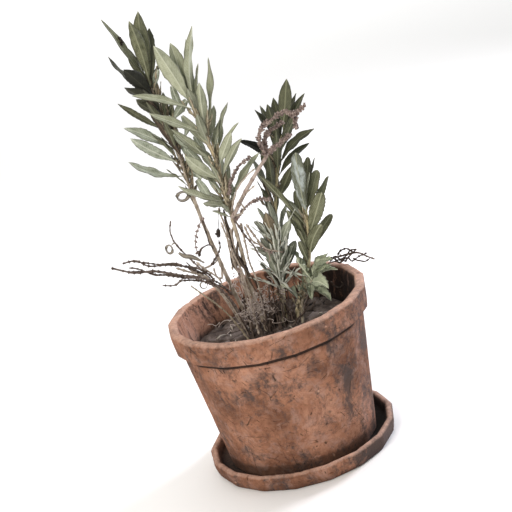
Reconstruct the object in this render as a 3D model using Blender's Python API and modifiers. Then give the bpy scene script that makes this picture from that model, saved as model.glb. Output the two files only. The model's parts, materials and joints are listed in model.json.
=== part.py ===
"""A dead shrub in a terracotta pot on its saucer.

The pot stands in the saucer, a shrunken plug of dry soil sits in the pot, and woody stems, dried flower
spikes and dead leaves grow from the soil. Lengths in the tables are millimetres; MM turns them to metres.
The origin is the centre of the saucer's underside, +Z is up, and the plant is seen best from -Y.
"""

import math

import bmesh
import bpy
from mathutils import Vector

MM = 0.001
TURNS = 44           # facets round the pot, the saucer and the soil
GAP = 0.3            # air between touching pieces

# ---- driving dimensions, millimetres -----------------------------------------------------------------
SAUCER_RADIUS = 86.0
SAUCER_HEIGHT = 15.6
SAUCER_FLOOR = 5.2
POT_FOOT_RADIUS = 68.4
POT_RIM_RADIUS = 90.0
POT_HEIGHT = 137.8
BAND_HEIGHT = 21.2   # the thick collar round the pot's mouth
LIP_WIDTH = 9.2
FLOOR_THICKNESS = 8.0
DRAIN_RADIUS = 8.0
SOIL_EDGE_RADIUS = 74.2
SOIL_EDGE_Z = 115.5
SOIL_CROWN_Z = 119.5
ROOT_DEPTH = 12.0    # how far each stem is sunk in the soil
SOCKET_PLAY = 0.4
LEAF_THICKNESS = 0.7

POT_FOOT_Z = SAUCER_FLOOR + GAP
POT_RIM_Z = POT_FOOT_Z + POT_HEIGHT
BAND_Z = POT_RIM_Z - BAND_HEIGHT
POT_FLOOR_Z = POT_FOOT_Z + FLOOR_THICKNESS
POT_THROAT = POT_RIM_RADIUS - LIP_WIDTH

# ---- stems: base radius, tip radius, then the route from the soil's surface up -----------------------
# The first point of a rooted route is (x, y) on the soil; the others are (x, y, z).
ROOTED = {
    "stem_tall": (2.1, 1.2, [(-15, 6.2), (-22, 7, 145), (-28, 10, 180), (-34, 12, 228), (-36, 12, 260),
                             (-38, 13, 292), (-41, 14, 316), (-44, 16, 349)]),
    "stem_pale": (2.0, 1.3, [(-5.6, -4.3), (-9, -6, 159), (-8, -10, 200), (-8, -14, 250), (-8, -15, 280),
                             (-11, -15, 308), (-13, -16, 328)]),
    "stem_back": (2.0, 1.2, [(13.2, 9), (18, 9, 150), (24, 10, 191), (31, 10, 222), (39, 9, 248),
                             (52, 8, 280)]),
    "stem_right": (2.1, 1.2, [(22.8, -0.3), (29, -1, 136), (40, -3, 155), (49, -5, 180), (54, -8, 213),
                              (55, -9, 229)]),
    "stem_short": (1.6, 1.0, [(9.6, -7.2), (16, -8, 149), (20, -10, 174), (23, -11, 194)]),
    "stem_low": (1.5, 1.0, [(26.8, -9.3), (31, -10, 137), (39, -13, 149), (45, -15, 156)]),
    "dead_stem_front": (1.0, 0.6, [(-12.9, -9.4), (-12, -12, 173), (-16, -15, 205), (-18, -17, 228)]),
    "dead_stem_rear": (1.1, 0.6, [(-19.1, -0.2), (-15, -1, 155), (-16, -2, 185), (-13, -4, 214)]),
    "spray_left_long": (1.2, 0.7, [(-22, -6.8), (-26, -10, 148), (-36, -14, 172), (-46, -16, 184),
                                   (-64, -18, 193), (-84, -20, 203), (-100, -22, 207), (-118, -23, 217)]),
    "curled_twig": (1.1, 0.5, [(-26, 1.3), (-26, 2, 139), (-35, 3, 161), (-45, 4, 183), (-54, 6, 199),
                               (-61, 8, 212), (-63, 8, 224), (-60, 9, 234)]),
    "straw": (0.7, 0.5, [(-23, -16.1), (-36, -21, 152), (-57, -30, 185)]),
    "twig_over_rim": (1.0, 0.8, [(31.7, 20.4), (36, 26, 124), (48, 38, 138), (62, 47, 147), (76, 45, 149),
                                 (90, 34, 152), (97, 28, 149), (104, 20, 146)]),
}

# Twigs that spring from another stem: radius at the start, radius at the end, and the route.
FORKED = {
    "flower_stalk": (1.7, 1.3, [(-4, -17, 233), (7, -18, 246), (20, -20, 260), (30, -22, 270),
                                (35, -23, 275)]),
    "twisted_twig": (0.9, 0.7, [(-5, -16, 222), (-2, -19, 213), (3, -22, 202), (5, -24, 194),
                                (8, -25, 187)]),
}

# Dried flower spikes: radius of the rachis, radius of its whorls of calyces, and the route.
SPIKES = {
    "flower_head_low": (0.8, 1.9, [(39, -26, 279), (44, -27, 281), (50, -28, 284), (57, -30, 288)]),
    "flower_head_mid": (0.8, 1.8, [(35, -21, 280), (35, -20, 286), (39, -21, 292), (47, -21, 295),
                                   (55, -21, 298)]),
    "flower_head_top": (0.8, 1.9, [(32, -25, 280), (31, -28, 291), (36, -30, 300), (45, -31, 304),
                                   (53, -30, 307), (60, -29, 306), (64, -29, 298), (62, -29, 291)]),
    "flower_side_upper": (0.6, 1.6, [(-4, -19, 252), (-2, -20, 259), (3, -22, 265), (9, -23, 272),
                                     (21, -26, 278)]),
    "flower_side_lower": (0.6, 1.6, [(-3, -17, 228), (4, -18, 234), (10, -21, 238), (18, -22, 240),
                                     (27, -22, 237)]),
    "spray_left_knotted": (0.7, 1.4, [(-40, -9, 183), (-48, -11, 192), (-61, -10, 198), (-74, -8, 202),
                                      (-88, -8, 205), (-97, -6, 212), (-109, -6, 213)]),
    "spray_left_hook": (0.6, 1.2, [(-43, -20, 180), (-51, -22, 187), (-61, -24, 191), (-70, -26, 188),
                                   (-80, -27, 191)]),
}
WHORL_STEP = 3.4     # from the middle of one whorl to the gap beside it

# ---- leaves: station up the stem (0 to 1), turn round +Z from +X, lean from upright, length, width, twist of
# the blade about its own axis, and bow, the share of the length by which it arches towards its upper face ---
LEAVES = {
    "tall": [
        (1.00, 185, 20, 69, 9.5, -30, 0.01), (1.00, 265, 14, 61, 12.0, 5, 0.03),
        (1.00, 330, 8, 64, 14.5, -50, 0.02), (0.969, 170, 34, 49, 8.0, -15, -0.09),
        (0.959, 235, 42, 44, 13.0, 40, 0.0), (0.824, 165, 48, 49, 6.0, -50, -0.03),
        (0.752, 170, 54, 48, 10.0, -40, 0.02), (0.700, 205, 47, 52, 10.5, 60, -0.03),
        (0.649, 195, 58, 52, 9.0, -40, -0.08),
    ],
    "pale": [
        (1.00, 215, 20, 63, 14.5, 55, 0.03), (1.00, 130, 8, 56, 13.5, -40, 0.02),
        (1.00, 340, 14, 68, 9.5, -35, 0.03), (0.990, 190, 60, 54, 8.5, -40, 0.02),
        (0.886, 190, 52, 50, 9.0, -45, 0.0), (0.855, 305, 12, 52, 11.0, -30, 0.02),
        (0.886, 5, 18, 63, 9.0, 20, -0.06), (0.803, 30, 38, 44, 8.0, -5, 0.03),
        (0.751, 0, 42, 40, 8.0, 20, 0.04), (0.689, 335, 42, 42, 8.5, -50, 0.05),
        (0.689, 215, 42, 43, 11.0, 60, -0.04), (0.596, 205, 54, 48, 9.0, 40, -0.06),
        (0.586, 350, 46, 52, 7.5, 40, 0.02),
    ],
    "back": [
        (1.00, 332, 20, 50, 12.0, -70, 0.02), (0.969, 10, 42, 45, 9.0, 30, 0.03),
        (0.895, 345, 38, 44, 10.0, -50, 0.04), (0.833, 0, 58, 45, 10.0, 35, 0.08),
        (0.770, 20, 62, 43, 9.0, 25, 0.04),
    ],
    "right": [
        (0.840, 285, 14, 61, 12.5, -30, 0.0), (0.872, 15, 32, 37, 11.0, 40, 0.02),
        (0.679, 310, 36, 49, 13.0, -50, 0.02), (0.562, 15, 50, 37, 8.5, 60, 0.05),
        (0.508, 320, 36, 37, 11.0, -65, 0.05), (0.530, 225, 14, 48, 9.0, 10, 0.03),
    ],
    "short": [
        (0.912, 205, 24, 36, 8.0, 40, 0.08), (0.890, 335, 34, 33, 9.0, -80, 0.04),
    ],
    "low": [
        (1.00, 345, 62, 21, 9.0, 60, 0.10),
    ],
}
# Share of the blade's length, and its half-width there as a share of the widest, from petiole to tip.
BLADE_OUTLINE = [(0.0, 0.10), (0.12, 0.13), (0.28, 0.62), (0.45, 0.95), (0.62, 1.0), (0.78, 0.72),
                 (0.91, 0.34), (1.0, 0.05)]
BLADE_FOLD = math.radians(14)    # how far each half of a blade is folded up from flat
PETIOLE_STANDOFF = 1.05          # from the stem's surface to the middle of the petiole

# ---- shared tools ------------------------------------------------------------------------------------


def clear_scene():
    for old in list(bpy.data.objects):
        bpy.data.objects.remove(old)


def collection_named(name):
    found = bpy.data.collections.new(name)
    bpy.context.scene.collection.children.link(found)
    return found


def material(name, colour, roughness):
    made = bpy.data.materials.new(name)
    made.use_nodes = True
    shader = made.node_tree.nodes["Principled BSDF"]
    shader.inputs["Base Color"].default_value = (*colour, 1)
    shader.inputs["Roughness"].default_value = roughness
    shader.inputs["Metallic"].default_value = 0
    return made


def add_object(name, data, finish, where):
    made = bpy.data.objects.new(name, data)
    made.data.materials.append(finish)
    where.objects.link(made)
    return made


def smooth_route(points, step):
    """A smooth curve through the points, sampled about every step millimetres."""
    points = [Vector(p) for p in points]
    ends = [2 * points[0] - points[1], *points, 2 * points[-1] - points[-2]]
    route = []
    for a, b, c, d in zip(ends, ends[1:], ends[2:], ends[3:]):
        count = max(1, round((c - b).length / step))
        for i in range(count):
            t = i / count
            route.append(0.5 * (2 * b + (c - a) * t + (2 * a - 5 * b + 4 * c - d) * t * t
                                + (3 * b - a - 3 * c + d) * t ** 3))
    return [*route, points[-1]]


def tube(name, route, radii, finish, where, resolution=1):
    """A round rod along the route, its radius given at each point; all in millimetres."""
    curve = bpy.data.curves.new(name, "CURVE")
    curve.dimensions = "3D"
    curve.bevel_depth = MM
    curve.bevel_resolution = resolution
    curve.use_fill_caps = True
    spline = curve.splines.new("POLY")
    spline.points.add(len(route) - 1)
    for place, point, radius in zip(spline.points, route, radii):
        place.co = (*(point * MM), 1)
        place.radius = radius
    return add_object(name, curve, finish, where)


def turned(name, profile, finish, where, ring=False):
    """A solid turned about +Z from a profile of (radius, height) in millimetres, listed down its outer side.

    An open profile starts and ends on the axis; a ring's profile is a closed loop clear of the axis.
    """
    mesh = bpy.data.meshes.new(name)
    shape = bmesh.new()
    corners = [shape.verts.new((r * MM, 0, z * MM)) for r, z in profile]
    for a, b in zip(corners, corners[1:]):
        shape.edges.new((a, b))
    if ring:
        shape.edges.new((corners[-1], corners[0]))
    shape.to_mesh(mesh)
    shape.free()
    made = add_object(name, mesh, finish, where)
    screw = made.modifiers.new("Turn", "SCREW")
    screw.axis = "Z"
    screw.steps = screw.render_steps = TURNS
    screw.use_merge_vertices = True
    screw.merge_threshold = 0.00002
    screw.use_smooth_shade = True
    return made


# ---- saucer: a thrown terracotta dish with a rounded lip ---------------------------------------------


def make_saucer(finish, where):
    turned("saucer", [
        (0, SAUCER_FLOOR), (76.8, SAUCER_FLOOR), (78.4, 13.4), (80.2, SAUCER_HEIGHT - 0.4),
        (82.6, SAUCER_HEIGHT), (85.0, SAUCER_HEIGHT - 0.8), (SAUCER_RADIUS, 12.8), (84.6, 6.0), (82.2, 0.8),
        (81.0, 0), (0, 0),
    ], finish, where)


# ---- pot: tapered body, thick collar, drain hole in its floor ----------------------------------------


def make_pot(finish, where):
    turned("pot", [
        (POT_RIM_RADIUS - 1.2, POT_RIM_Z), (POT_RIM_RADIUS, POT_RIM_Z - 1.4),
        (POT_RIM_RADIUS - 1.9, BAND_Z + 1.0), (POT_RIM_RADIUS - 2.8, BAND_Z), (83.9, BAND_Z - 0.6),
        (POT_FOOT_RADIUS + 0.5, POT_FOOT_Z + 1.6), (POT_FOOT_RADIUS - 0.8, POT_FOOT_Z),
        (DRAIN_RADIUS, POT_FOOT_Z), (DRAIN_RADIUS, POT_FLOOR_Z), (60.0, POT_FLOOR_Z),
        (62.0, POT_FLOOR_Z + 2.0), (76.8, BAND_Z), (POT_THROAT, POT_RIM_Z - 1.4),
        (POT_THROAT + 1.2, POT_RIM_Z),
    ], finish, where, ring=True)


# ---- soil: a dry plug that has shrunk a little from the wall, with a socket for each rooted stem -----


def soil_top(x, y):
    """Height of the soil's domed surface, in millimetres."""
    share = min(1.0, math.hypot(x, y) / SOIL_EDGE_RADIUS)
    return SOIL_CROWN_Z + (SOIL_EDGE_Z - SOIL_CROWN_Z) * share ** 2


def rooted_route(route):
    """The route from its buried root: straight up out of the soil, then through its own points."""
    (x, y), *rest = route
    base = Vector((x, y, soil_top(x, y)))
    along = (Vector(rest[0]) - base).normalized()
    return base - along * ROOT_DEPTH, base, rest


def cut_socket(soil, root, base, radius, where):
    """Bores a socket in the soil, a little wider and deeper than the stem that stands in it."""
    along = (base - root).normalized()
    low, high = root - along * GAP * 2, base + along * 4
    mesh = bpy.data.meshes.new("socket")
    shape = bmesh.new()
    bmesh.ops.create_cone(shape, cap_ends=True, segments=8, radius1=(radius + SOCKET_PLAY) * MM * 1.09,
                          radius2=(radius + SOCKET_PLAY) * MM * 1.09, depth=(high - low).length * MM)
    shape.to_mesh(mesh)
    shape.free()
    cutter = bpy.data.objects.new("socket_cutter", mesh)
    cutter.hide_render = True
    cutter.display_type = "WIRE"
    cutter.rotation_mode = "QUATERNION"
    cutter.rotation_quaternion = along.to_track_quat("Z", "Y")
    cutter.location = (low + high) / 2 * MM
    where.objects.link(cutter)
    bore = soil.modifiers.new("Socket", "BOOLEAN")
    bore.operation = "DIFFERENCE"
    bore.object = cutter


def make_soil(finish, where, cutters):
    floor = POT_FLOOR_Z + GAP
    rings = [SOIL_EDGE_RADIUS * share for share in (0.25, 0.5, 0.75)]
    surface = [(r, soil_top(r, 0)) for r in rings]
    profile = [(0, SOIL_CROWN_Z), *surface, (SOIL_EDGE_RADIUS - 1.5, SOIL_EDGE_Z + 0.3),
               (SOIL_EDGE_RADIUS - 0.2, SOIL_EDGE_Z - 1.6), (61.2, floor + 2.4), (59.4, floor), (0, floor)]
    soil = turned("soil", profile, finish, where)
    for base_radius, _, route in ROOTED.values():
        root, base, _ = rooted_route(route)
        cut_socket(soil, root, base, base_radius, cutters)
    return soil


# ---- stems, twigs and dried flower spikes ------------------------------------------------------------


def taper(start, end, count):
    return [start + (end - start) * i / (count - 1) for i in range(count)]


def make_rooted(name, spec, finish, where):
    """A stem from its socket up. Returns its route above the soil, for the leaves to sit on."""
    start, end, route = spec
    root, base, rest = rooted_route(route)
    above = smooth_route([base, *rest], 13)
    path = [root, *above]
    tube(name, path, taper(start, end, len(path)), finish, where)
    return above


def make_forked(name, spec, finish, where):
    start, end, route = spec
    path = smooth_route(route, 8)
    tube(name, path, taper(start, end, len(path)), finish, where)


def make_spike(name, spec, finish, where):
    """A rachis with whorls: the radius swells and narrows at every other point."""
    rachis, whorl, route = spec
    path = smooth_route(route, WHORL_STEP)
    radii = [whorl if i % 2 else rachis for i in range(len(path))]
    radii[-1] = rachis
    tube(name, path, radii, finish, where)


def point_up(route, share):
    """The point that lies this share of the way up a route."""
    lengths = [(b - a).length for a, b in zip(route, route[1:])]
    left = share * sum(lengths)
    for a, b, length in zip(route, route[1:], lengths):
        if left <= length:
            return a + (b - a) * (left / length)
        left -= length
    return route[-1]


# ---- leaves: lance-shaped blades, folded along the midrib --------------------------------------------


def make_leaf(name, stem_point, stem_radius, row, finish, where):
    _, turn, lean, length, width, twist, bow = row
    turn, lean, twist = (math.radians(a) for a in (turn, lean, twist))
    outward = Vector((math.cos(turn), math.sin(turn), 0))
    chord = outward * math.sin(lean) + Vector((0, 0, math.cos(lean)))
    upper = Vector((0, 0, math.sin(lean))) - outward * math.cos(lean)
    side = chord.cross(upper)
    face = upper * math.cos(twist) + side * math.sin(twist)
    across = chord.cross(face)
    base = stem_point + outward * (stem_radius + PETIOLE_STANDOFF)
    tip = stem_point + chord * length
    segments = len(BLADE_OUTLINE) - 1
    mesh = bpy.data.meshes.new(name)
    blade = bmesh.new()
    bmesh.ops.create_grid(blade, x_segments=2, y_segments=segments, size=0.5)
    for corner in blade.verts:
        share, half = BLADE_OUTLINE[round((corner.co.y + 0.5) * segments)]
        middle = base.lerp(tip, share) + upper * (4 * share * (1 - share) * bow * length)
        half_width = half * width / 2
        hand = 2 * corner.co.x
        offset = across * (hand * math.cos(BLADE_FOLD)) + face * (abs(hand) * math.sin(BLADE_FOLD))
        corner.co = (middle + offset * half_width) * MM
    blade.to_mesh(mesh)
    blade.free()
    leaf = add_object(name, mesh, finish, where)
    skin = leaf.modifiers.new("Thickness", "SOLIDIFY")
    skin.thickness = LEAF_THICKNESS * MM
    skin.offset = 0


# ---- the plant in its pot ----------------------------------------------------------------------------


def main():
    clear_scene()
    plant = collection_named("dead_shrub_in_pot")
    cutters = collection_named("cutters")
    terracotta = material("terracotta", (0.42, 0.18, 0.10), 0.85)
    dry_soil = material("dry_soil", (0.06, 0.045, 0.04), 0.95)
    wood = material("dead_wood", (0.32, 0.25, 0.18), 0.8)
    flower = material("dried_flower", (0.22, 0.16, 0.15), 0.9)
    leaf_finish = material("dead_leaf", (0.27, 0.29, 0.19), 0.75)

    make_saucer(terracotta, plant)
    make_pot(terracotta, plant)
    make_soil(dry_soil, plant, cutters)
    routes = {name: make_rooted(name, spec, wood, plant) for name, spec in ROOTED.items()}
    for name, spec in FORKED.items():
        make_forked(name, spec, wood, plant)
    for name, spec in SPIKES.items():
        make_spike(name, spec, flower, plant)
    for shoot, rows in LEAVES.items():
        start, end, _ = ROOTED["stem_" + shoot]
        for number, row in enumerate(rows, 1):
            stem_point = point_up(routes["stem_" + shoot], row[0])
            stem_radius = start + (end - start) * row[0]
            make_leaf(f"leaf_{shoot}_{number:02d}", stem_point, stem_radius, row, leaf_finish, plant)


main()
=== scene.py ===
import json
import math
import random

import bmesh
import bpy
import numpy as np
from mathutils import Matrix, Vector, noise

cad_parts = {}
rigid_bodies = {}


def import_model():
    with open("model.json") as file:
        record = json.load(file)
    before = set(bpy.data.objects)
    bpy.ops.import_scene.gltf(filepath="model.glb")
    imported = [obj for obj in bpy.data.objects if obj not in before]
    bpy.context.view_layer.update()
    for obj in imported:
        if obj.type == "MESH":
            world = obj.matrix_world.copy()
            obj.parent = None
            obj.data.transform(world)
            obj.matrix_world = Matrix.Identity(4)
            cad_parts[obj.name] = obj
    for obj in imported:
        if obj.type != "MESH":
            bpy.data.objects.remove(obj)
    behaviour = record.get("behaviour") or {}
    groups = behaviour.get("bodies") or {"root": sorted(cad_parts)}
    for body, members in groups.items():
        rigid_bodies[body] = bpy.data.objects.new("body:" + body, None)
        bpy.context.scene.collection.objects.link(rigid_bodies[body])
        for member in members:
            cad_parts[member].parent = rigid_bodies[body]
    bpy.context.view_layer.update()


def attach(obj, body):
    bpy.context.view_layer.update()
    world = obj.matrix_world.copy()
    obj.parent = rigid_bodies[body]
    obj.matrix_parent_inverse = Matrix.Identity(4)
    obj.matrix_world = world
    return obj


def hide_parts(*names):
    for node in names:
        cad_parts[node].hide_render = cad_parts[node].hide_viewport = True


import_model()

# ---- Saucer ----------------------------------------------------------------------------------------------
# The dish under the pot: terracotta thrown on a wheel, its lip rolled over with a wet sponge, and fired
# unglazed. It was pared by hand, which left faint flats. Overflow has blackened its lip, and its right-hand
# flank is blackened further with soot and with painted shade.

MM = 0.001


def linear(code, alpha=1.0):
    """A colour as shaders want it, from its sRGB hex."""
    shares = [int(code[i:i + 2], 16) / 255 for i in (1, 3, 5)]
    return (*[c / 12.92 if c <= 0.04045 else ((c + 0.055) / 1.055) ** 2.4 for c in shares], alpha)


def add(tree, kind, inputs=None, ramp=None, **settings):
    """Adds a node, sets its own settings and fills its sockets with values or with other nodes' outputs."""
    made = tree.nodes.new("ShaderNode" + kind)
    for name, value in settings.items():
        setattr(made, name, value)
    for name, value in (inputs or {}).items():
        if isinstance(value, bpy.types.NodeSocket):
            tree.links.new(value, made.inputs[name])
        else:
            made.inputs[name].default_value = value
    if ramp:
        stops = made.color_ramp.elements
        stops.remove(stops[1])
        stops[0].position, stops[0].color = ramp[0][0], linear(ramp[0][1])
        for place, colour in ramp[1:]:
            stops.new(place).color = linear(colour)
    return made


def finish(name, roughness):
    """A fresh material with only its Principled shader: (material, tree, shader).

    Everything here is dull and porous, so it shines half as much as a closed surface would.
    """
    made = bpy.data.materials.new(name)
    made.use_nodes = True
    shader = made.node_tree.nodes["Principled BSDF"]
    shader.inputs["Roughness"].default_value = roughness
    shader.inputs["IOR"].default_value = 1.5
    shader.inputs["Specular IOR Level"].default_value = 0.25
    return made, made.node_tree, shader


def fired_clay(name, soot_amount, right_soot_and_shade, stains):
    """Unglazed terracotta, matt and porous: orange clay under salmon bloom, soot, fine scratches and pits.

    The mesh's point attribute says where it is inside (x), rubbed at an edge (y) or in a corner (z);
    corners, creases and gaps are darkened with dirt and with painted shade.
    The third argument adds soot towards the right-hand side, as painted shade; stains shifts the pattern of
    soot.
    """
    made, tree, shader = finish(name, 0.92)
    place = add(tree, "TexCoord").outputs["Object"]
    wear_and_shade = add(tree, "Attribute", attribute_name="wear_and_shade")
    inside, rubbed, corner = add(tree, "SeparateXYZ", {0: wear_and_shade.outputs["Vector"]}).outputs
    warp = add(tree, "TexNoise", {"Vector": place, "Scale": 1000 / 30, "Detail": 3.0})
    bent = add(tree, "VectorMath", {0: warp.outputs["Color"], 1: (0.022, 0.022, 0.022), 2: place},
               operation="MULTIPLY_ADD").outputs[0]

    # The body: firing colour drifts over 60 mm, and handling mottles it over 6 mm.
    drift = add(tree, "TexNoise", {"Vector": place, "Scale": 1000 / 60, "Detail": 3.0, "Roughness": 0.6})
    colour = add(tree, "ValToRGB", {0: drift.outputs["Fac"]},
                 ramp=[(0.38, "#7c5541"), (0.52, "#9f7057"), (0.66, "#b6866d")]).outputs[0]
    mottle = add(tree, "TexNoise", {"Vector": bent, "Scale": 1000 / 6, "Detail": 8.0, "Roughness": 0.8})
    shade = add(tree, "ValToRGB", {0: mottle.outputs["Fac"]}, ramp=[(0.36, "#c2b8b5"), (0.58, "#ffffff")])
    colour = add(tree, "Mix", {0: 1.0, 6: colour, 7: shade.outputs[0]}, data_type="RGBA",
                 blend_type="MULTIPLY").outputs[2]

    # Lime bloom has dried out as thin salmon-grey clouds 13 mm across.
    bloom = add(tree, "TexNoise", {"Vector": bent, "Scale": 1000 / 13, "Detail": 8.0, "Roughness": 0.7})
    cloud = add(tree, "MapRange", {0: bloom.outputs["Fac"], 1: 0.50, 2: 0.64, 4: 0.4}).outputs[0]
    colour = add(tree, "Mix", {0: cloud, 6: colour, 7: linear("#a98d82")}, data_type="RGBA").outputs[2]

    # The inner wall is painted paler and pinker: painted light.
    pale = add(tree, "Math", {0: inside, 1: 0.3}, operation="MULTIPLY").outputs[0]
    colour = add(tree, "Mix", {0: pale, 6: colour, 7: linear("#cf9f86")}, data_type="RGBA").outputs[2]

    # Grit of soot in the pores, 3 mm across and finer.
    speck = add(tree, "TexNoise", {"Vector": place, "Scale": 1000 / 3.4, "Detail": 4.0, "Roughness": 0.78})
    dotted = add(tree, "MapRange", {0: speck.outputs["Fac"], 1: 0.57, 2: 0.70, 4: 0.5}).outputs[0]
    colour = add(tree, "Mix", {0: dotted, 6: colour, 7: linear("#5b4a43")}, data_type="RGBA").outputs[2]

    # Soot and algae: grey-black smudges up to 17 mm across, drawn out downwards by the rain.
    grime = add(tree, "VectorMath", {0: bent, 1: (1, 1, 0.55), 2: stains},
                operation="MULTIPLY_ADD").outputs[0]
    patch = add(tree, "TexNoise", {"Vector": grime, "Scale": 1000 / 17, "Detail": 9.0, "Roughness": 0.72})
    # The soot level rises towards the right-hand side (+x): painted shade on the flank away from the key
    # light.
    across = add(tree, "SeparateXYZ", {0: place}).outputs[0]
    right_darkening = add(tree, "MapRange", {0: across, 1: 0.02, 2: 0.07, 4: right_soot_and_shade}).outputs[0]
    level = add(tree, "Math", {0: right_darkening, 1: patch.outputs["Fac"]}, operation="ADD").outputs[0]
    level = add(tree, "Math", {0: speck.outputs["Fac"], 1: 0.4, 2: level},
                operation="MULTIPLY_ADD").outputs[0]
    soot = add(tree, "MapRange", {0: level, 1: 0.705, 2: 0.85, 4: soot_amount}).outputs[0]
    colour = add(tree, "Mix", {0: soot, 6: colour, 7: linear("#463e3c")}, data_type="RGBA").outputs[2]

    # Water has run down the inside in dark streaks 10 mm wide, and towards its right-hand side the inside is
    # darkened further as painted shade.
    drawn = add(tree, "VectorMath", {0: bent, 1: (1, 1, 0.16)}, operation="MULTIPLY").outputs[0]
    runs = add(tree, "TexNoise", {"Vector": drawn, "Scale": 1000 / 10, "Detail": 5.0, "Roughness": 0.6})
    shaded = add(tree, "MapRange", {0: across, 1: 0.0, 2: 0.06, 4: 0.16}).outputs[0]
    level = add(tree, "Math", {0: shaded, 1: runs.outputs["Fac"]}, operation="ADD").outputs[0]
    streaks_and_shade = add(tree, "MapRange", {0: level, 1: 0.53, 2: 0.62, 4: 0.92}).outputs[0]
    streaks_and_shade = add(tree, "Math", {0: streaks_and_shade, 1: inside}, operation="MULTIPLY").outputs[0]
    colour = add(tree, "Mix", {0: streaks_and_shade, 6: colour, 7: linear("#1c1411")}, data_type="RGBA").outputs[2]

    # Scratches: straight, thin and dark with dirt, in three nets that cross, broken here and there.
    eased = add(tree, "VectorMath", {0: warp.outputs["Color"], 1: (0.006, 0.006, 0.006), 2: place},
                operation="MULTIPLY_ADD").outputs[0]
    scratch = 0.0
    for size, squash, width in ((44, (1, 1, 0.5), 0.009), (30, (0.6, 1, 1.5), 0.010),
                                (17, (1, 0.8, 0.8), 0.012)):
        laid = add(tree, "VectorMath", {0: eased, 1: squash}, operation="MULTIPLY").outputs[0]
        seam = add(tree, "TexVoronoi", {"Vector": laid, "Scale": 1000 / size}, feature="DISTANCE_TO_EDGE")
        line = add(tree, "MapRange", {0: seam.outputs["Distance"], 1: width, 2: width * 0.35})
        gate = add(tree, "TexNoise", {"Vector": place, "Scale": 1000 / (size * 0.35), "Detail": 2.0})
        gate = add(tree, "MapRange", {0: gate.outputs["Fac"], 1: 0.55, 2: 0.62, 4: 0.85}).outputs[0]
        line = add(tree, "Math", {0: line.outputs[0], 1: gate}, operation="MULTIPLY").outputs[0]
        scratch = add(tree, "Math", {0: line, 1: scratch}, operation="MAXIMUM").outputs[0]
    colour = add(tree, "Mix", {0: scratch, 6: colour, 7: linear("#38291f")}, data_type="RGBA").outputs[2]

    # Nicks knocked out of the skin: most have filled with dirt, a few are fresh and pale.
    for size, reach, kept, amount, tint in ((8, 0.14, 0.4, 0.85, "#3d2b24"),
                                            (19, 0.1, 0.62, 0.8, "#cb9f86")):
        grit = add(tree, "TexVoronoi", {"Vector": bent, "Scale": 1000 / size})
        luck = add(tree, "SeparateXYZ", {0: grit.outputs["Color"]}).outputs[0]
        luck = add(tree, "MapRange", {0: luck, 1: kept, 2: kept + 0.04, 4: amount}).outputs[0]
        pit = add(tree, "MapRange", {0: grit.outputs["Distance"], 1: reach, 2: reach * 0.5}).outputs[0]
        pit = add(tree, "Math", {0: pit, 1: luck}, operation="MULTIPLY").outputs[0]
        colour = add(tree, "Mix", {0: pit, 6: colour, 7: linear(tint)}, data_type="RGBA").outputs[2]

    # Rubbed edges go pale and pink. Corners, the crease under the collar, the gap between soil and wall and
    # the floor under the pot are darkened with dirt and with painted shade.
    rub = add(tree, "Math", {0: rubbed, 1: mottle.outputs["Fac"]}, operation="MULTIPLY").outputs[0]
    rub = add(tree, "MapRange", {0: rub, 1: 0.24, 2: 0.62, 4: 0.75}).outputs[0]
    colour = add(tree, "Mix", {0: rub, 6: colour, 7: linear("#cfa995")}, data_type="RGBA").outputs[2]
    corner_darkening = add(tree, "Math", {0: corner, 1: 0.9}, operation="MULTIPLY").outputs[0]
    colour = add(tree, "Mix", {0: corner_darkening, 6: colour, 7: linear("#1f1814")}, data_type="RGBA").outputs[2]
    tree.links.new(colour, shader.inputs["Base Color"])

    # Relief: open grain, turning rings 6 mm apart, and the scratches and pale nicks cut into it. Real grain
    # is a third of a millimetre, so it is drawn four times as coarse, to show at all.
    grain = add(tree, "TexNoise", {"Vector": place, "Scale": 1000 / 1.4, "Detail": 4.0, "Roughness": 0.7})
    rings = add(tree, "TexWave", {"Vector": place, "Scale": 1000 / 19, "Distortion": 3.0, "Detail": 2.0},
                bands_direction="Z").outputs["Fac"]
    height = add(tree, "Math", {0: rings, 1: 0.35, 2: grain.outputs["Fac"]},
                 operation="MULTIPLY_ADD").outputs[0]
    height = add(tree, "Math", {0: mottle.outputs["Fac"], 1: 1.4, 2: height},
                 operation="MULTIPLY_ADD").outputs[0]
    cuts = add(tree, "Math", {0: scratch, 1: pit}, operation="MAXIMUM").outputs[0]
    height = add(tree, "Math", {0: cuts, 1: -1.2, 2: height}, operation="MULTIPLY_ADD").outputs[0]
    bump = add(tree, "Bump", {"Height": height, "Strength": 0.55, "Distance": 0.0006})
    tree.links.new(bump.outputs[0], shader.inputs["Normal"])
    return made


def piece(name, verts, faces, made_of, marks, smooth=True):
    """An object from millimetre points. marks maps an attribute's name to a vector for each point."""
    mesh = bpy.data.meshes.new(name)
    mesh.from_pydata((np.asarray(verts) * MM).tolist(), [], [tuple(f) for f in faces])
    for mark, values in marks.items():
        mesh.attributes.new(mark, "FLOAT_VECTOR", "POINT").data.foreach_set("vector", np.ravel(values))
    mesh.materials.append(made_of)
    if smooth:
        mesh.shade_smooth()
    made = bpy.data.objects.new(name, mesh)
    bpy.context.scene.collection.objects.link(made)
    return made


def roughly(point, size, shift=0.0):
    """Smooth noise between about -1 and 1 at a point in millimetres, in lumps of this size."""
    return noise.noise(Vector(point) / size + Vector((shift, shift * 1.7, -shift)))


FLAT, FIRST_EDGE = math.tau / 17, math.radians(81.5)
ROW_STEP = 1.6


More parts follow.
